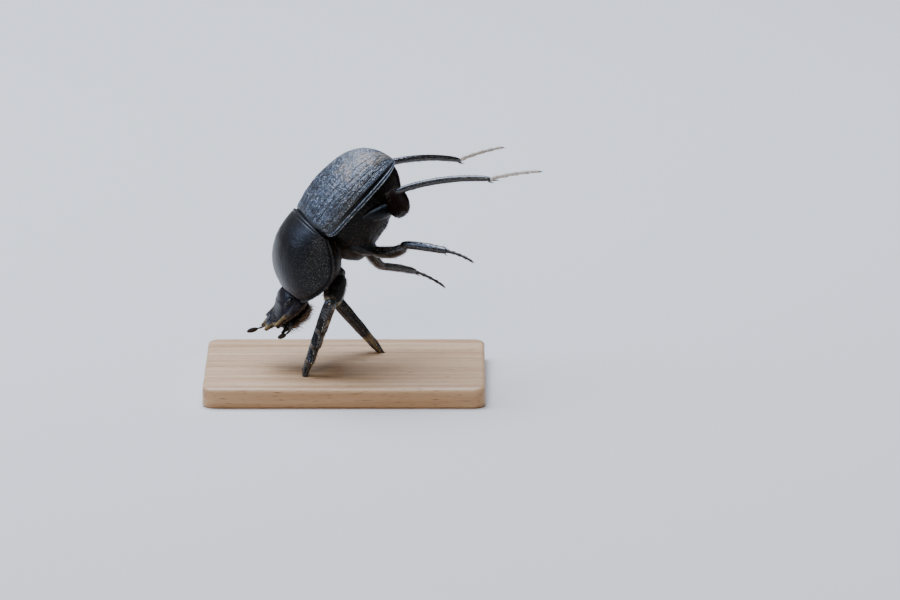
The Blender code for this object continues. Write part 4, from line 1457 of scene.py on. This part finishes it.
@dataclass(frozen=True)
class Head:
    """The spade-shaped head: a domed crown that runs out into a thin dished front edge with six teeth."""

    axes: Axes
    half_width: float = 5.1 * MM
    front_reach: float = 5.6 * MM
    back_reach: float = 3.2 * MM
    crest: float = 2.5 * MM
    rim: float = 0.28 * MM
    tooth_reach: float = 1.0 * MM
    tooth_pitch: float = 360 / 13
    under: float = 0.75 * MM
    rows: int = 120
    sides: int = 416
    eye_at: Place = (0.4, 3.6, 1.4)
    eye_radii: Place = (0.8, 0.5, 0.5)
    jaws_at: Place = (1.2, 0.0, -1.75)
    jaws_radii: Place = (2.7, 3.0, 0.85)

    def outline(self, angle: Array, spread: Array) -> Array:
        """Radius of the plan: an ellipse on each side of the middle, plus triangular teeth towards the rim.

        Args:
            angle: from straight ahead.
            spread: from 0 at the middle to 1 at the rim.

        Returns:
            The radius, in metres.
        """
        reach = np.where(np.cos(angle) > 0, self.front_reach, self.back_reach)
        oval = 1 / np.sqrt((np.cos(angle) / reach) ** 2 + (np.sin(angle) / self.half_width) ** 2)
        turn, half = np.abs(np.degrees(angle)), self.tooth_pitch / 2
        tooth = np.clip(1 - np.abs(turn % self.tooth_pitch - half) / half, 0, 1) ** 1.35
        size = np.where(turn < 2 * self.tooth_pitch, 1.0, np.where(turn < 3 * self.tooth_pitch, 0.45, 0.0))
        return oval + self.tooth_reach * (tooth * size - 0.3) * spread**6

    def relief(self, x: Array, y: Array, angle: Array, spread: Array) -> Array:
        """Height of the head's relief.

        The front rim and its teeth turn up. A low curved ridge parts the front plate from the brow, a groove
        runs out from each eye to the edge, a raised ring goes round each eye, and wrinkles and grains cover
        the front.

        Args:
            x: place forwards, in millimetres.
            y: place to the left, in millimetres.
            angle: from straight ahead.
            spread: from 0 at the middle to 1 at the rim.

        Returns:
            The height, in metres.
        """
        eye_x, eye_y = x - self.eye_at[0], np.abs(y) - self.eye_at[1]
        ahead = np.clip(np.cos(angle) + 0.25, 0, 1)
        rim = 0.30 * ridge(spread, 1.0, 0.13) * ahead - 0.10 * ridge(spread, 0.80, 0.12) * ahead
        brow = 0.07 * ridge(x - 1.9 + 0.05 * y**2, 0.0, 0.40) * smooth((2.9 - np.abs(y)) / 1.2, 0, 1)
        cheek = -0.10 * ridge(eye_y - 0.62 * eye_x, 0.0, 0.16) * (x > 1.2) * (spread < 0.93)
        orbit = 0.11 * ridge(np.sqrt((eye_x / 0.86) ** 2 + (eye_y / 0.52) ** 2), 1.0, 0.50)
        front = np.clip((x - 0.9) / 2.5, 0.08, 1)
        wrinkle = 0.05 * mottle(x * MM, y * 0.5 * MM, 0.26 * MM, 71)
        grain = 0.05 * grains(x * MM, y * MM, 0.26 * MM, 0.12 * MM, 72)
        return (rim + brow + cheek + orbit + (wrinkle + grain) * front * (spread < 0.97)) * MM

    def capsule(self) -> Skin:
        """Builds the head as one closed body: rings from the crown's middle to the rim, then back underneath.

        The upper side is a crown that falls forward by a half cosine, over a thin rounded rim.

        Returns:
            The surface of its lower side, for the bristles.
        """
        step, turn = (part[:, :-1] for part in net(self.rows, self.sides + 1))
        spread = 1 - (1 - (0.012 + 0.988 * step)) ** 1.3
        angle = (turn * 2 - 1) * np.pi
        radius = self.outline(angle, spread) * spread
        x, y = radius * np.cos(angle), radius * np.sin(angle)
        fall = smooth(np.clip(np.clip(x + 0.2 * MM, 0, None) / self.front_reach / 0.85, 0, 1), 0, 1)
        crown = np.clip(self.crest * (1 - fall) * (1 - (y / self.half_width) ** 2 * 0.7), 0, None)
        top = crown * rounded(spread, 3.0) + self.rim * rounded(spread, 8)
        upper = xyz(x, y, top + self.relief(x / MM, y / MM, angle, spread))

        below = spread[::-3]
        around = angle[: len(below)]
        radius = self.outline(around, below) * below
        folds = 0.05 * MM * mottle(radius, around * 4 * MM, 0.5 * MM, 73)
        blade = 6 - 3.8 * np.clip(np.cos(around) + 0.2, 0, 1)
        depth = self.under * rounded(below, blade) - folds * rounded(below, 4)
        lower = xyz(radius * np.cos(around), radius * np.sin(around), -depth)[1:]

        ahead = np.clip(np.cos(angle) + 0.3, 0, 1)
        soiled = ahead * smooth((spread - 0.76) / 0.22, 0, 1) * (0.28 + 0.32 * mottle(x, y, 0.8 * MM, 74))
        dust = np.concatenate([0.02 + soiled, np.full(lower.shape[:2], 0.30)])
        form = Form()
        form.tube(self.axes.out(np.concatenate([upper, lower])), dust)
        form.make("head_capsule", Finish.HEAD, Slot.SHELL, "head")
        return Skin(self.axes.out(lower), below[1:], around[1:])

    def jaws(self) -> Skin:
        """Builds the closed mouthparts: a grooved chin plate with a lobe on each side and a lip in front.

        Returns:
            The chin's surface, for the bristles.
        """
        ball, s, angle = sphere(60, 80)
        shape = ball * np.array(self.jaws_radii) * MM
        cleft = -0.25 * ridge(ball[..., 1], 0.0, 0.06) - 0.22 * ridge(np.abs(ball[..., 1]), 0.55, 0.05)
        bar = -0.18 * ridge(ball[..., 0], 0.15, 0.05)
        grain = 0.05 * grains(shape[..., 0], shape[..., 1], 0.4 * MM, 0.2 * MM, 81)
        height = (cleft + bar + grain) * MM * np.sin(np.pi * s)
        middle = np.array(self.jaws_at) * MM
        chin = Skin(self.axes.out(middle + raised(shape, height, True)), s, angle)
        form = Form()
        form.tube(chin.grid, 0.2)
        for side in (-1, 1):
            form.ball(self.axes.point(3.0, side * 1.5, -1.9), self.axes, (1.1, 0.55, 0.45), 20, 20)
        form.ball(self.axes.point(3.3, 0, -1.35), self.axes, (0.7, 1.1, 0.3), 20, 24)
        form.make("mouthparts_closed", Finish.UNDERSIDE, Slot.UNDERSIDE, "mouthparts")
        return chin

    def eye_and_palp(self, word: str, side: int) -> None:
        """Builds one side's eye, an ellipsoid, and jaw feeler, four short joints that widen to the last.

        Args:
            word: the side's name.
            side: 1 for the left one, -1 for the right.
        """
        form = Form()
        centre = self.axes.point(self.eye_at[0], side * self.eye_at[1], self.eye_at[2])
        form.ball(centre, self.axes, self.eye_radii, 40, 48)
        form.make(f"eye_{word}_lens", Finish.EYE, Slot.EYE, f"eye_{word}")
        start, end = self.axes.point(2.6, side * 1.7, -1.7), self.axes.point(4.6, side * 2.0, -1.9)
        body = limb_axes(start, end, self.axes.way(0, 0, 1))
        s, angle = ring_net(50, 16)
        joint = np.abs(np.sin(s * 4 * np.pi)) ** 0.5
        radius = smooth(s, 0.2, 0.27, 0.3, 0.25) * MM * (0.72 + 0.28 * joint) * cap(s, 8)
        length = float(np.linalg.norm(end - start))
        form = Form()
        form.tube(body.out(xyz(s * length, radius * np.cos(angle), radius * np.sin(angle))), 0.2)
        name = f"maxillary_palp_{word}"
        form.make(name + "_joints", Finish.UNDERSIDE, Slot.UNDERSIDE, name)

    def setae(self, floor: Skin, chin: Skin) -> None:
        """Grows the brush under the head, long on the chin and its sides and short along the head's rim.

        Args:
            floor: the surface of the head's lower side.
            chin: the chin plate's surface.
        """
        low = np.clip(0.35 - np.sin(chin.turn), 0, 1) * rounded(2 * chin.along - 1, 4)
        rim = ridge(floor.along, 0.80, 0.20) * (0.3 + np.clip(np.cos(floor.turn) + 0.6, 0, 1))
        tufts = low * mottle(chin.along * 5 * MM, chin.turn * 3 * MM, 0.6 * MM, 75) ** 3
        coat = Coat(121, strips=2)
        coat.grow(chin, low, 1250, Seta(0.40, 1.45, 0.045, 46, 0.34), self.axes.way(-0.5, 0, -1), 0)
        coat.grow(floor, rim, 900, Seta(0.25, 0.60, 0.035, 40, 0.28), self.axes.way(0.2, 0, -1), 1)
        coat.grow(chin, tufts, 260, Seta(1.2, 2.0, 0.07, 48, 0.30), self.axes.way(-0.4, 0, -1), 0)
        coat.make("mouth_setae", Finish.MOUTH_HAIR, Slot.UNDERSIDE)

    def build(self) -> None:
        """Builds the capsule, mouthparts, their bristles, eyes and palps."""
        self.setae(self.capsule(), self.jaws())
        for word, side in SIDES.items():
            self.eye_and_palp(word, side)


# ---------- legs


class LegKind(Enum):
    """The three pairs of legs."""

    FORE = "foreleg"
    MID = "midleg"
    HIND = "hindleg"


@dataclass(frozen=True)
class LegSizes:
    """Sizes of one pair of legs, in millimetres, and the seed that picks its bristles.

    The flank and hip are points of the body region's own axes on its left side. Each joint has a width and a
    depth. The shin has a bow, the thigh a sag and an upright share, which is how far its broad direction is
    turned from the belly's side to straight down. The reach is how far the thigh's end bends over to the
    knee, the root is the shin's width there as a share, and the foot is its half width at the ankle. The
    dusts are shares.
    """

    seed: int
    flank: Place
    hip: Place
    coxa: tuple[float, float]
    femur: tuple[float, float]
    shin: tuple[float, float] = (0.0, 0.0)
    bow: float = 0.0
    spur: float = 1.2
    sag: float = 0.0
    upright: float = 0.0
    reach: float = 0.0
    root: float = 0.75
    foot: float = 0.30
    thigh_dust: float = 0.04
    foot_dust: float = 0.30
    shin_hair: Seta = Seta(0.35, 0.80, 0.035, 40)


LEG_SIZES = {
    LegKind.FORE: LegSizes(
        130, (4.4, 5.2, -2.6), (4.8, 4.0, -4.1), coxa=(2.6, 2.2), femur=(3.2, 2.0), thigh_dust=0.22,
        shin_hair=Seta(0.40, 0.85, 0.04, 42),
    ),
    LegKind.MID: LegSizes(
        132, (-1.6, 7.0, -3.0), (-3.0, 4.4, -6.8), coxa=(2.4, 2.2), femur=(2.0, 1.6), shin=(1.4, 1.15),
        bow=0.15, spur=1.5, sag=0.55, reach=0.8, root=0.9,
    ),
    LegKind.HIND: LegSizes(
        134, (-6.2, 7.9, -1.9), (-9.8, 5.9, -4.4), coxa=(2.6, 2.2), femur=(4.2, 1.9), shin=(1.15, 1.0),
        bow=0.8, spur=1.6, upright=0.65, root=1.12, foot=0.38, foot_dust=0.62,
    ),
}


@dataclass(frozen=True)
class Limb:
    """One joint of a leg: its axes and length, and the place along it and angle round it of each point."""

    axes: Axes
    length: float
    s: Array
    angle: Array

    def surface(self, right: Array, left: Array, depth: Array, blade: float = 1.0) -> Array:
        """Ellipses along the axis between two edges.

        Args:
            right: the right edge at each place, in metres.
            left: the left edge.
            depth: the half depth.
            blade: above 1, the sections thin towards their edges like a lens.

        Returns:
            Points in the joint's own axes.
        """
        half, middle = (left - right) / 2, (left + right) / 2
        height = depth * powered(np.sin(self.angle), blade)
        return xyz(self.s * self.length, middle + half * np.cos(self.angle), height)

    def flat(self, width: float, depth: float, blade: float = 1.0) -> Array:
        """A flat surface, widest before its middle: half cosines along it, closed by superellipses.

        Args:
            width: its greatest width, in millimetres.
            depth: its greatest depth, in millimetres.
            blade: as in surface.

        Returns:
            Points in the joint's own axes.
        """
        edge = smooth(self.s, 0.55, 0.95, 1.0, 0.92, 0.74) * cap(self.s, 5) * width / 2 * MM
        half_depth = smooth(self.s, 0.7, 1.0, 0.95, 0.85, 0.7) * cap(self.s, 6) * depth / 2 * MM
        return self.surface(-edge, edge, half_depth, blade)

    def hide(self, points: Array, seed: int, depth: float) -> Array:
        """The joint's skin, with shallow grains and dents worked into it.

        Args:
            points: the smooth surface, in its own axes.
            seed: picks the scatter.
            depth: the relief's depth, in millimetres.

        Returns:
            The points, in the row frame.
        """
        x, y = self.s * self.length, self.angle * 0.9 * MM
        grain = 0.6 * grains(x, y, 0.42 * MM, 0.16 * MM, seed) - mottle(x, y, 0.55 * MM, seed + 1)
        return self.axes.out(raised(points, grain * depth * cap(self.s, 6) * MM, True))


@dataclass
class Leg:
    """One leg, from its hip block to its claws, its joints in millimetres above the base's top."""

    kind: LegKind
    word: str
    region: Axes
    thigh: Place
    knee: Place
    ankle: Place
    toe: Place | None = None
    socket: float = 0.6 * MM
    teeth: tuple[tuple[float, float], ...] = ((0.36, 0.55), (0.55, 0.8), (0.74, 1.0), (0.95, 1.0))
    foot_arch: float = 0.25
    skins: dict[str, tuple[Limb, Skin]] = field(default_factory=dict)

    @property
    def sizes(self) -> LegSizes:
        """This pair's sizes."""
        return LEG_SIZES[self.kind]

    def on_body(self, place: Place) -> Array:
        """A point given on the body region's left side, in the row frame, mirrored for a right leg."""
        return self.region.point(place[0], SIDES[self.word] * place[1], place[2])

    @staticmethod
    def above_base(point: Place) -> Array:
        """A point given above the base's top, in the row frame."""
        return np.array(point) * MM + np.array([0, 0, BASE_TOP])

    def name(self, joint: str) -> str:
        """The solid's name for one joint of this leg."""
        return f"{self.kind.value}_{joint}_{self.word}"

    @staticmethod
    def limb(start: Array, end: Array, broad: Array, socket: float, rows: int, sides: int) -> Limb:
        """A joint that runs on past both of its ends.

        Args:
            start: its near end.
            end: its far end.
            broad: the direction in which it is broad.
            socket: how far it runs on, in metres.
            rows: rings of its skin.
            sides: points round each ring.

        Returns:
            The joint.
        """
        run_on = unit(end - start) * socket
        axes = limb_axes(start - run_on, end + run_on, broad)
        return Limb(axes, float(np.linalg.norm(end - start)) + 2 * socket, *ring_net(rows, sides))

    def coxa(self) -> None:
        """Builds the hip block, its outer end sunk into the flank, with a raised ridge along each face."""
        flank, hip = self.on_body(self.sizes.flank), self.on_body(self.sizes.hip)
        end = flank + (hip - flank) * 1.12
        limb = self.limb(flank, end, self.region.way(0, 0, -1), self.socket, 60, 72)
        points = limb.flat(*self.sizes.coxa)
        points[..., 1:] *= smooth(limb.s / 0.5, 0.50, 0.88, 1.0)[..., None]
        crest = ridge(limb.angle, 1.98, 0.22) + ridge(limb.angle, FULL - 1.98, 0.22)
        points = raised(points, 0.32 * crest * cap(limb.s, 5) * MM, True)
        form = Form()
        # The pale grey-blue line along each crest is a painted highlight.
        form.tube(limb.hide(points, 91, 0.05), 0.05, 0.15 + 2.4 * crest)
        form.make(self.name("coxa") + "_block", Finish.HIP, Slot.LIMB, self.name("coxa"))

    def femur(self) -> None:
        """Builds the thigh: a small ring joint at its root, sharp edges, and grooves beside one of them."""
        sizes = self.sizes
        hip, end = self.on_body(sizes.hip), self.above_base(self.thigh)
        broad = self.region.way(0, 0, -1) * (1 - sizes.upright) + np.array([0, 0, -1]) * sizes.upright
        limb = self.limb(hip, end, broad, self.socket, 110, 84)
        s, angle = limb.s, limb.angle
        points = limb.flat(*sizes.femur, 0.9)
        waist = -0.28 * ridge(s, 0.17, 0.035) - 0.10 * ridge(s, 0.93, 0.03)
        rear = 0.7 * ridge(angle, 0.0, 0.2)
        keel = 0.10 * (ridge(angle, np.pi, 0.28) + rear + 0.7 * ridge(angle, FULL, 0.2))
        groove = -0.07 * (ridge(angle, np.pi - 0.5, 0.16) + ridge(angle, np.pi + 0.5, 0.16))
        relief = waist + (keel + groove) * (s > 0.2) * cap(s, 6)
        placed = limb.hide(raised(points, relief * MM, True), 93, 0.04)
        placed[..., 2] -= arch(s, sizes.sag)
        over = (np.array(self.knee) - np.array(self.thigh)) * MM
        placed = placed + over * (sizes.reach * s**3)[..., None]
        self.skins["femur"] = (limb, Skin(placed, s, angle))
        patches = np.clip(mottle(s * limb.length, angle * MM, 0.8 * MM, 94) - 0.45, 0, 1)
        dust = sizes.thigh_dust * (0.3 + ridge(s, 0.9, 0.25) + np.cos(angle) ** 4 + 2.5 * patches)
        form = Form()
        form.tube(placed, dust, 0.6 + 6 * keel)
        finish = Finish.RED_LIMB if self.kind is LegKind.HIND else Finish.LIMB
        form.make(self.name("femur") + "_thigh", finish, Slot.LIMB, self.name("femur"))

    def digging_shin(self) -> None:
        """Builds the foreleg's shin with its movable spur, its tip flat on the base.

        Its outer edge has four hooked teeth, each a slow rise and a quick fall.
        """
        knee, ankle = self.above_base(self.knee), self.above_base(self.ankle)
        limb = self.limb(knee, ankle, self.region.way(0, SIDES[self.word], 0), self.socket, 240, 64)
        s, angle = limb.s, limb.angle
        end = cap(s, 12)
        inner = smooth(s, 0.95, 0.92, 0.90, 0.80, 0.32)
        outer = smooth(s, 0.90, 0.88, 0.90, 0.85, 0.45)
        for tip, height in self.teeth:
            rise = np.clip((s - tip + 0.13) / 0.13, 0, None)
            fall = np.clip((tip + 0.045 - s) / 0.045, 0, None)
            outer = outer + height * np.minimum(rise, fall) ** 1.15
        depth = smooth(s, 1.05, 0.94, 0.84, 0.66, 0.36)
        points = limb.surface(-inner * end * MM, outer * end * MM, depth * end * MM, 1.25)
        saw = 0.10 * MM * np.abs(np.sin(s * 26 * np.pi)) * (s > 0.08) * (s < 0.92)
        points[..., 1] += saw * np.clip(np.cos(angle), 0, 1) ** 10
        rib = 0.09 * (ridge(angle, 1.9, 0.3) + ridge(angle, 4.4, 0.3)) - 0.06 * ridge(angle, 1.3, 0.2)
        placed = limb.hide(raised(points, rib * cap(s, 5) * (s < 0.92) * MM, True), 95, 0.035)
        placed[..., 2] = np.maximum(placed[..., 2], BASE_TOP)
        self.skins["tibia"] = (limb, Skin(placed, s, angle))
        patches = mottle(s * limb.length, angle * MM, 1.1 * MM, 96)
        form = Form()
        form.tube(placed, 0.02 + 0.95 * np.clip(patches - 0.42, 0, 1) + 0.12 * s)
        root = np.array([limb.length * 0.80, -0.62 * MM, 0.15 * MM])
        tip = np.array([limb.length * 0.925, -1.35 * MM, 0.35 * MM])
        form.thorn(limb.axes, root, tip, (1, 0.4, 0), 0.15, 0.20)
        form.make(self.name("tibia") + "_digger", Finish.LIMB, Slot.LIMB, self.name("tibia"))

    def walking_shin(self) -> None:
        """Builds a mid or hind shin: slender, with rows of short spines and two long spurs at its end.

        Its width changes by half cosines, its edge is notched, and it bows as a parabola.
        """
        knee, ankle = self.above_base(self.knee), self.above_base(self.ankle)
        limb = self.limb(knee, ankle, np.cross([0, 0, 1], ankle - knee), self.socket, 150, 40)
        s, (thin, thick) = limb.s, self.sizes.shin
        edge = smooth(s, self.sizes.root * thin, thin, thin, (thin + thick) / 2, thick) / 2 * cap(s, 10) * MM
        notches = 1 + 0.22 * ridge((s * 9) % 1, 0.85, 0.15) * (s > 0.25) * (s < 0.97)
        points = limb.surface(-edge, edge * notches, edge * 0.9)
        points[..., 2] += arch(s, self.sizes.bow)
        placed = limb.hide(points, 97, 0.03)
        self.skins["tibia"] = (limb, Skin(placed, s, limb.angle))
        form = Form()
        form.tube(placed, 0.06 + 0.12 * s)
        half = thick / 2 * MM
        for turn, length in ((-0.6, self.sizes.spur), (-2.4, self.sizes.spur * 0.6)):
            side = np.array([0, math.cos(turn), math.sin(turn)])
            root = np.array([limb.length * 0.955, 0, 0]) + side * half * 0.6
            tip = root + np.array([length, 0, 0]) * MM + side * 0.45 * MM
            form.thorn(limb.axes, root, tip, side, 0.12, 0.13)
        for k in range(14):
            place, turn = 0.22 + 0.05 * k, (-1.2, 2.6)[k % 2]
            side = np.array([0, math.cos(turn), math.sin(turn)])
            root = np.array([place * limb.length, 0, arch(place, self.sizes.bow)]) + side * half * 0.6
            tip = root + np.array([0.38, 0, 0]) * MM + side * 0.34 * MM
            form.thorn(limb.axes, root, tip, side, 0.03, 0.06, 6)
        form.make(self.name("tibia") + "_shin", Finish.LIMB, Slot.LIMB, self.name("tibia"))

    def foot(self) -> None:
        """Builds the foot: five joints, each flaring to its end with spines below, and two curved claws."""
        knee, ankle, toe = (self.above_base(point) for point in (self.knee, self.ankle, self.toe))
        limb = self.limb(ankle, toe, np.cross([0, 0, 1], ankle - knee), self.socket / 2, 180, 24)
        s, angle = limb.s, limb.angle
        joint = (s * 5) % 1
        lip = rounded(np.clip((joint - 0.90) / 0.10, 0, 1) * 0.8, 3)
        flare = smooth(joint, 0.70, 0.72, 0.82, 0.95, 1.0) * lip
        half = smooth(s, 1.0, 0.92, 0.82, 0.74) * self.sizes.foot * MM * flare * cap(s, 14)
        height = arch(s, self.foot_arch) + half * np.sin(angle)
        placed = limb.axes.out(xyz(s * limb.length, half * np.cos(angle), height))
        self.skins["tarsus"] = (limb, Skin(placed, s, angle))
        form = Form()
        form.tube(placed, self.sizes.foot_dust)
        for k in range(1, 6):
            place = 0.2 * k - 0.03
            for turn in (-0.7, -2.4):
                side = np.array([0, math.cos(turn), math.sin(turn)])
                root = np.array([place * limb.length, 0, arch(place, self.foot_arch)]) + side * 0.15 * MM
                tip = root + np.array([0.30, 0, 0]) * MM + side * 0.22 * MM
                form.thorn(limb.axes, root, tip, side, 0.03, 0.04, 6)
        for turn in (-1, 1):
            root = np.array([limb.length - 0.15 * MM, turn * 0.06 * MM, 0.0])
            tip = root + np.array([0.55, turn * 0.30, -0.28]) * MM
            form.thorn(limb.axes, root, tip, (0.3, 0, 1), 0.16, 0.08, 8)
        form.make(self.name("tarsus") + "_foot", Finish.FOOT, Slot.FOOT, self.name("tarsus"))

    def setae(self) -> None:
        """Grows a fringe along both edges of each joint: hairs that lean to the foot and out of the edge."""
        kinds = {
            "femur": (Seta(0.30, 0.75, 0.04, 38), 420, 0.45),
            "tibia": (self.sizes.shin_hair, 420, 0.45),
            "tarsus": (Seta(0.18, 0.42, 0.03, 35), 200, 0.8),
        }
        coat = Coat(self.sizes.seed + (self.word == "left"), len(self.skins))
        for strip, (joint, (limb, skin)) in enumerate(self.skins.items()):
            kind, count, half = kinds[joint]
            edges = ridge(np.cos(skin.turn), -1.0, half)
            if self.kind is not LegKind.FORE or joint != "tibia":
                edges = edges + ridge(np.cos(skin.turn), 1.0, half)
            weight = (edges + 0.04) * (skin.along > 0.1) * (skin.along < 0.94)
            coat.grow(skin, weight, count, kind, limb.axes.way(1, 0, 0), strip)
        coat.make(self.name("setae"), Finish.PALE_HAIR, Slot.LIMB)

    def build(self) -> None:
        """Builds the leg's joints and then their bristles."""
        self.coxa()
        self.femur()
        if self.toe is None:
            self.digging_shin()
        else:
            self.walking_shin()
            self.foot()
        self.setae()


def make_legs(pose: Pose) -> list[Leg]:
    """The six legs in the stance of a scarab that pushes backwards with its head down.

    Args:
        pose: the body regions' stance.

    Returns:
        The legs, front to back.
    """
    fore, mid, hind = LegKind
    stances = (
        (fore, "left", (-1.9, -9.0, 11.2), (-2.0, -9.2, 11.3), (-6.1, -8.0, -0.2)),
        (fore, "right", (-2.0, 7.8, 9.0), (-2.0, 8.0, 8.6), (5.6, 7.3, -0.2)),
        (mid, "left", (9.4, -7.4, 19.1), (8.9, -7.4, 19.8), (14.9, -12.1, 19.9), (18.8, -14.0, 18.8)),
        (mid, "right", (5.6, 8.4, 13.0), (5.5, 8.6, 13.0), (10.2, 13.1, 11.3), (14.6, 13.5, 9.0)),
        (hind, "left", (9.2, -13.0, 27.9), (8.3, -12.9, 29.1), (21.5, -15.6, 31.4), (28.7, -18.0, 33.1)),
        (hind, "right", (5.5, 17.0, 26.0), (5.2, 17.0, 26.8), (17.0, 23.5, 26.3), (23.5, 26.0, 27.8)),
    )
    regions = {fore: pose.prothorax(), mid: pose.hindbody(), hind: pose.hindbody()}
    return [Leg(kind, word, regions[kind], *joints) for kind, word, *joints in stances]


# ---------- display base, studio and the whole model


@dataclass(frozen=True)
class DisplayBase:
    """A flat wooden plate with rounded corners and a softened upper edge."""

    length: float = 42 * MM
    width: float = 34 * MM
    height: float = BASE_TOP
    corner: float = 2.0 * MM
    edge: float = 0.6 * MM
    foot: float = 0.25 * MM

    def build(self) -> None:
        """Sweeps an edge, a quarter circle above a straight side, round a rectangle with round corners."""
        turn = np.linspace(0, QUARTER, 9)
        inset = np.concatenate([[self.foot, 0.0], self.edge * (1 - np.cos(turn))])
        level = np.concatenate([[0.0, self.foot], self.height - self.edge * (1 - np.sin(turn))])
        corner_turn = (np.arange(13) / 12 * QUARTER)[None, :] + (np.arange(4) * QUARTER)[:, None]
        signs = np.array([[1, 1], [-1, 1], [-1, -1], [1, -1]])
        centres = signs * (np.array([self.length, self.width]) / 2 - self.corner)
        round_corner = np.stack([np.cos(corner_turn), np.sin(corner_turn)], -1)
        reach = (self.corner - inset)[:, None, None, None]
        plan = (centres[None, :, None] + round_corner[None] * reach).reshape(len(inset), -1, 2)
        rings = np.concatenate([plan, np.broadcast_to(level[:, None, None], (*plan.shape[:2], 1))], axis=-1)
        form = Form()
        form.tube(rings)
        form.make("stand_base_plate", Finish.WOOD, Slot.WOOD, "stand_base", 40)


@dataclass(frozen=True)
class Studio:
    """A plain pale floor, soft light from large panels, and the camera."""

    aim: Place = (15.75 * MM, 0.0, 12.76 * MM)
    elevation: float = math.radians(12.5)
    distance: float = 1.2
    lens: float = 320.0
    sensor: float = 36.0
    reach: float = 4.0

    @staticmethod
    def clear() -> None:
        """Removes whatever the new file holds."""
        for thing in list(bpy.data.objects):
            bpy.data.objects.remove(thing, do_unlink=True)

    def floor(self) -> None:
        """A wide pale floor, outside the object."""
        data = bpy.data.meshes.new("studio_floor")
        corners = [(x * self.reach, y * self.reach, 0) for x, y in ((-1, -1), (1, -1), (1, 1), (-1, 1))]
        data.from_pydata(corners, [], [(0, 1, 2, 3)])
        data.materials.append(blank("pale_floor", Roughness=0.9, Base_Color=linear("#cfc8bd"))[0])
        plane = bpy.data.objects.new("studio_floor", data)
        bpy.context.scene.collection.objects.link(plane)

    def panel(self, name: str, place: Place, size: float, power: float, colour: str) -> None:
        """A square light panel that faces the beetle.

        Args:
            name: the light's name.
            place: its position, in metres from the aim.
            size: its side, in metres.
            power: its power, in watts.
            colour: its sRGB colour.
        """
        data = bpy.data.lights.new(name, "AREA")
        data.shape, data.size, data.energy = "SQUARE", size, power
        data.color = linear(colour)[:3]
        lamp = bpy.data.objects.new(name, data)
        lamp.location = Vector(self.aim) + Vector(place)
        lamp.rotation_euler = (-Vector(place)).to_track_quat("-Z", "Y").to_euler()
        bpy.context.scene.collection.objects.link(lamp)

    def light(self) -> None:
        """Cool panels overhead and at the side, a small warm one in front, and a dim pale surround."""
        self.panel("sky_panel", (-0.15, 0.25, 0.75), 0.7, 19.0, "#d3e2ff")
        self.panel("side_panel", (-0.60, 0.05, 0.50), 0.4, 3.4, "#b9d0ff")
        self.panel("front_panel", (-0.20, -0.85, 0.50), 0.22, 2.6, "#fff3e4")
        world = bpy.data.worlds.new("pale_surround")
        world.use_nodes = True
        back = world.node_tree.nodes["Background"]
        back.inputs["Color"].default_value = linear("#e4e2dd")
        back.inputs["Strength"].default_value = 0.22
        bpy.context.scene.world = world

    def camera(self) -> None:
        """A long lens, a little above the base and square to the beetle's left side."""
        data = bpy.data.cameras.new("camera")
        data.lens, data.sensor_width = self.lens, self.sensor
        data.clip_start, data.clip_end = 0.05, 10.0
        eye = bpy.data.objects.new("camera", data)
        way = Vector((0.0, -math.cos(self.elevation), math.sin(self.elevation)))
        eye.location = Vector(self.aim) + way * self.distance
        eye.rotation_euler = (-way).to_track_quat("-Z", "Y").to_euler()
        bpy.context.scene.collection.objects.link(eye)
        bpy.context.scene.camera = eye

    def build(self) -> None:
        """Makes the floor, the lights and the camera."""
        self.floor()
        self.light()
        self.camera()


def main() -> None:
    """Loads the solids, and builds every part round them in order."""
    logging.basicConfig(level=logging.INFO, format="%(message)s")
    studio = Studio()
    studio.clear()
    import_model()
    studio.build()

    pose = Pose()
    DisplayBase().build()
    Hindbody(pose.hindbody()).build()
    Prothorax(pose.prothorax()).build()
    Head(pose.head()).build()
    for antenna in (
        Antenna("right", (2.4, -3.2, -0.9), (5.5, -3.5, -1.1), (6.8, -3.3, -0.2), (8.3, -3.2, 0.5)),
        Antenna("left", (2.2, 3.2, -0.9), (3.0, 4.1, -2.0), (4.1, 3.6, -1.9), (5.4, 3.3, -1.6)),
    ):
        antenna.build(pose.head())
    for leg in make_legs(pose):
        leg.build()


if __name__ == "__main__":
    main()
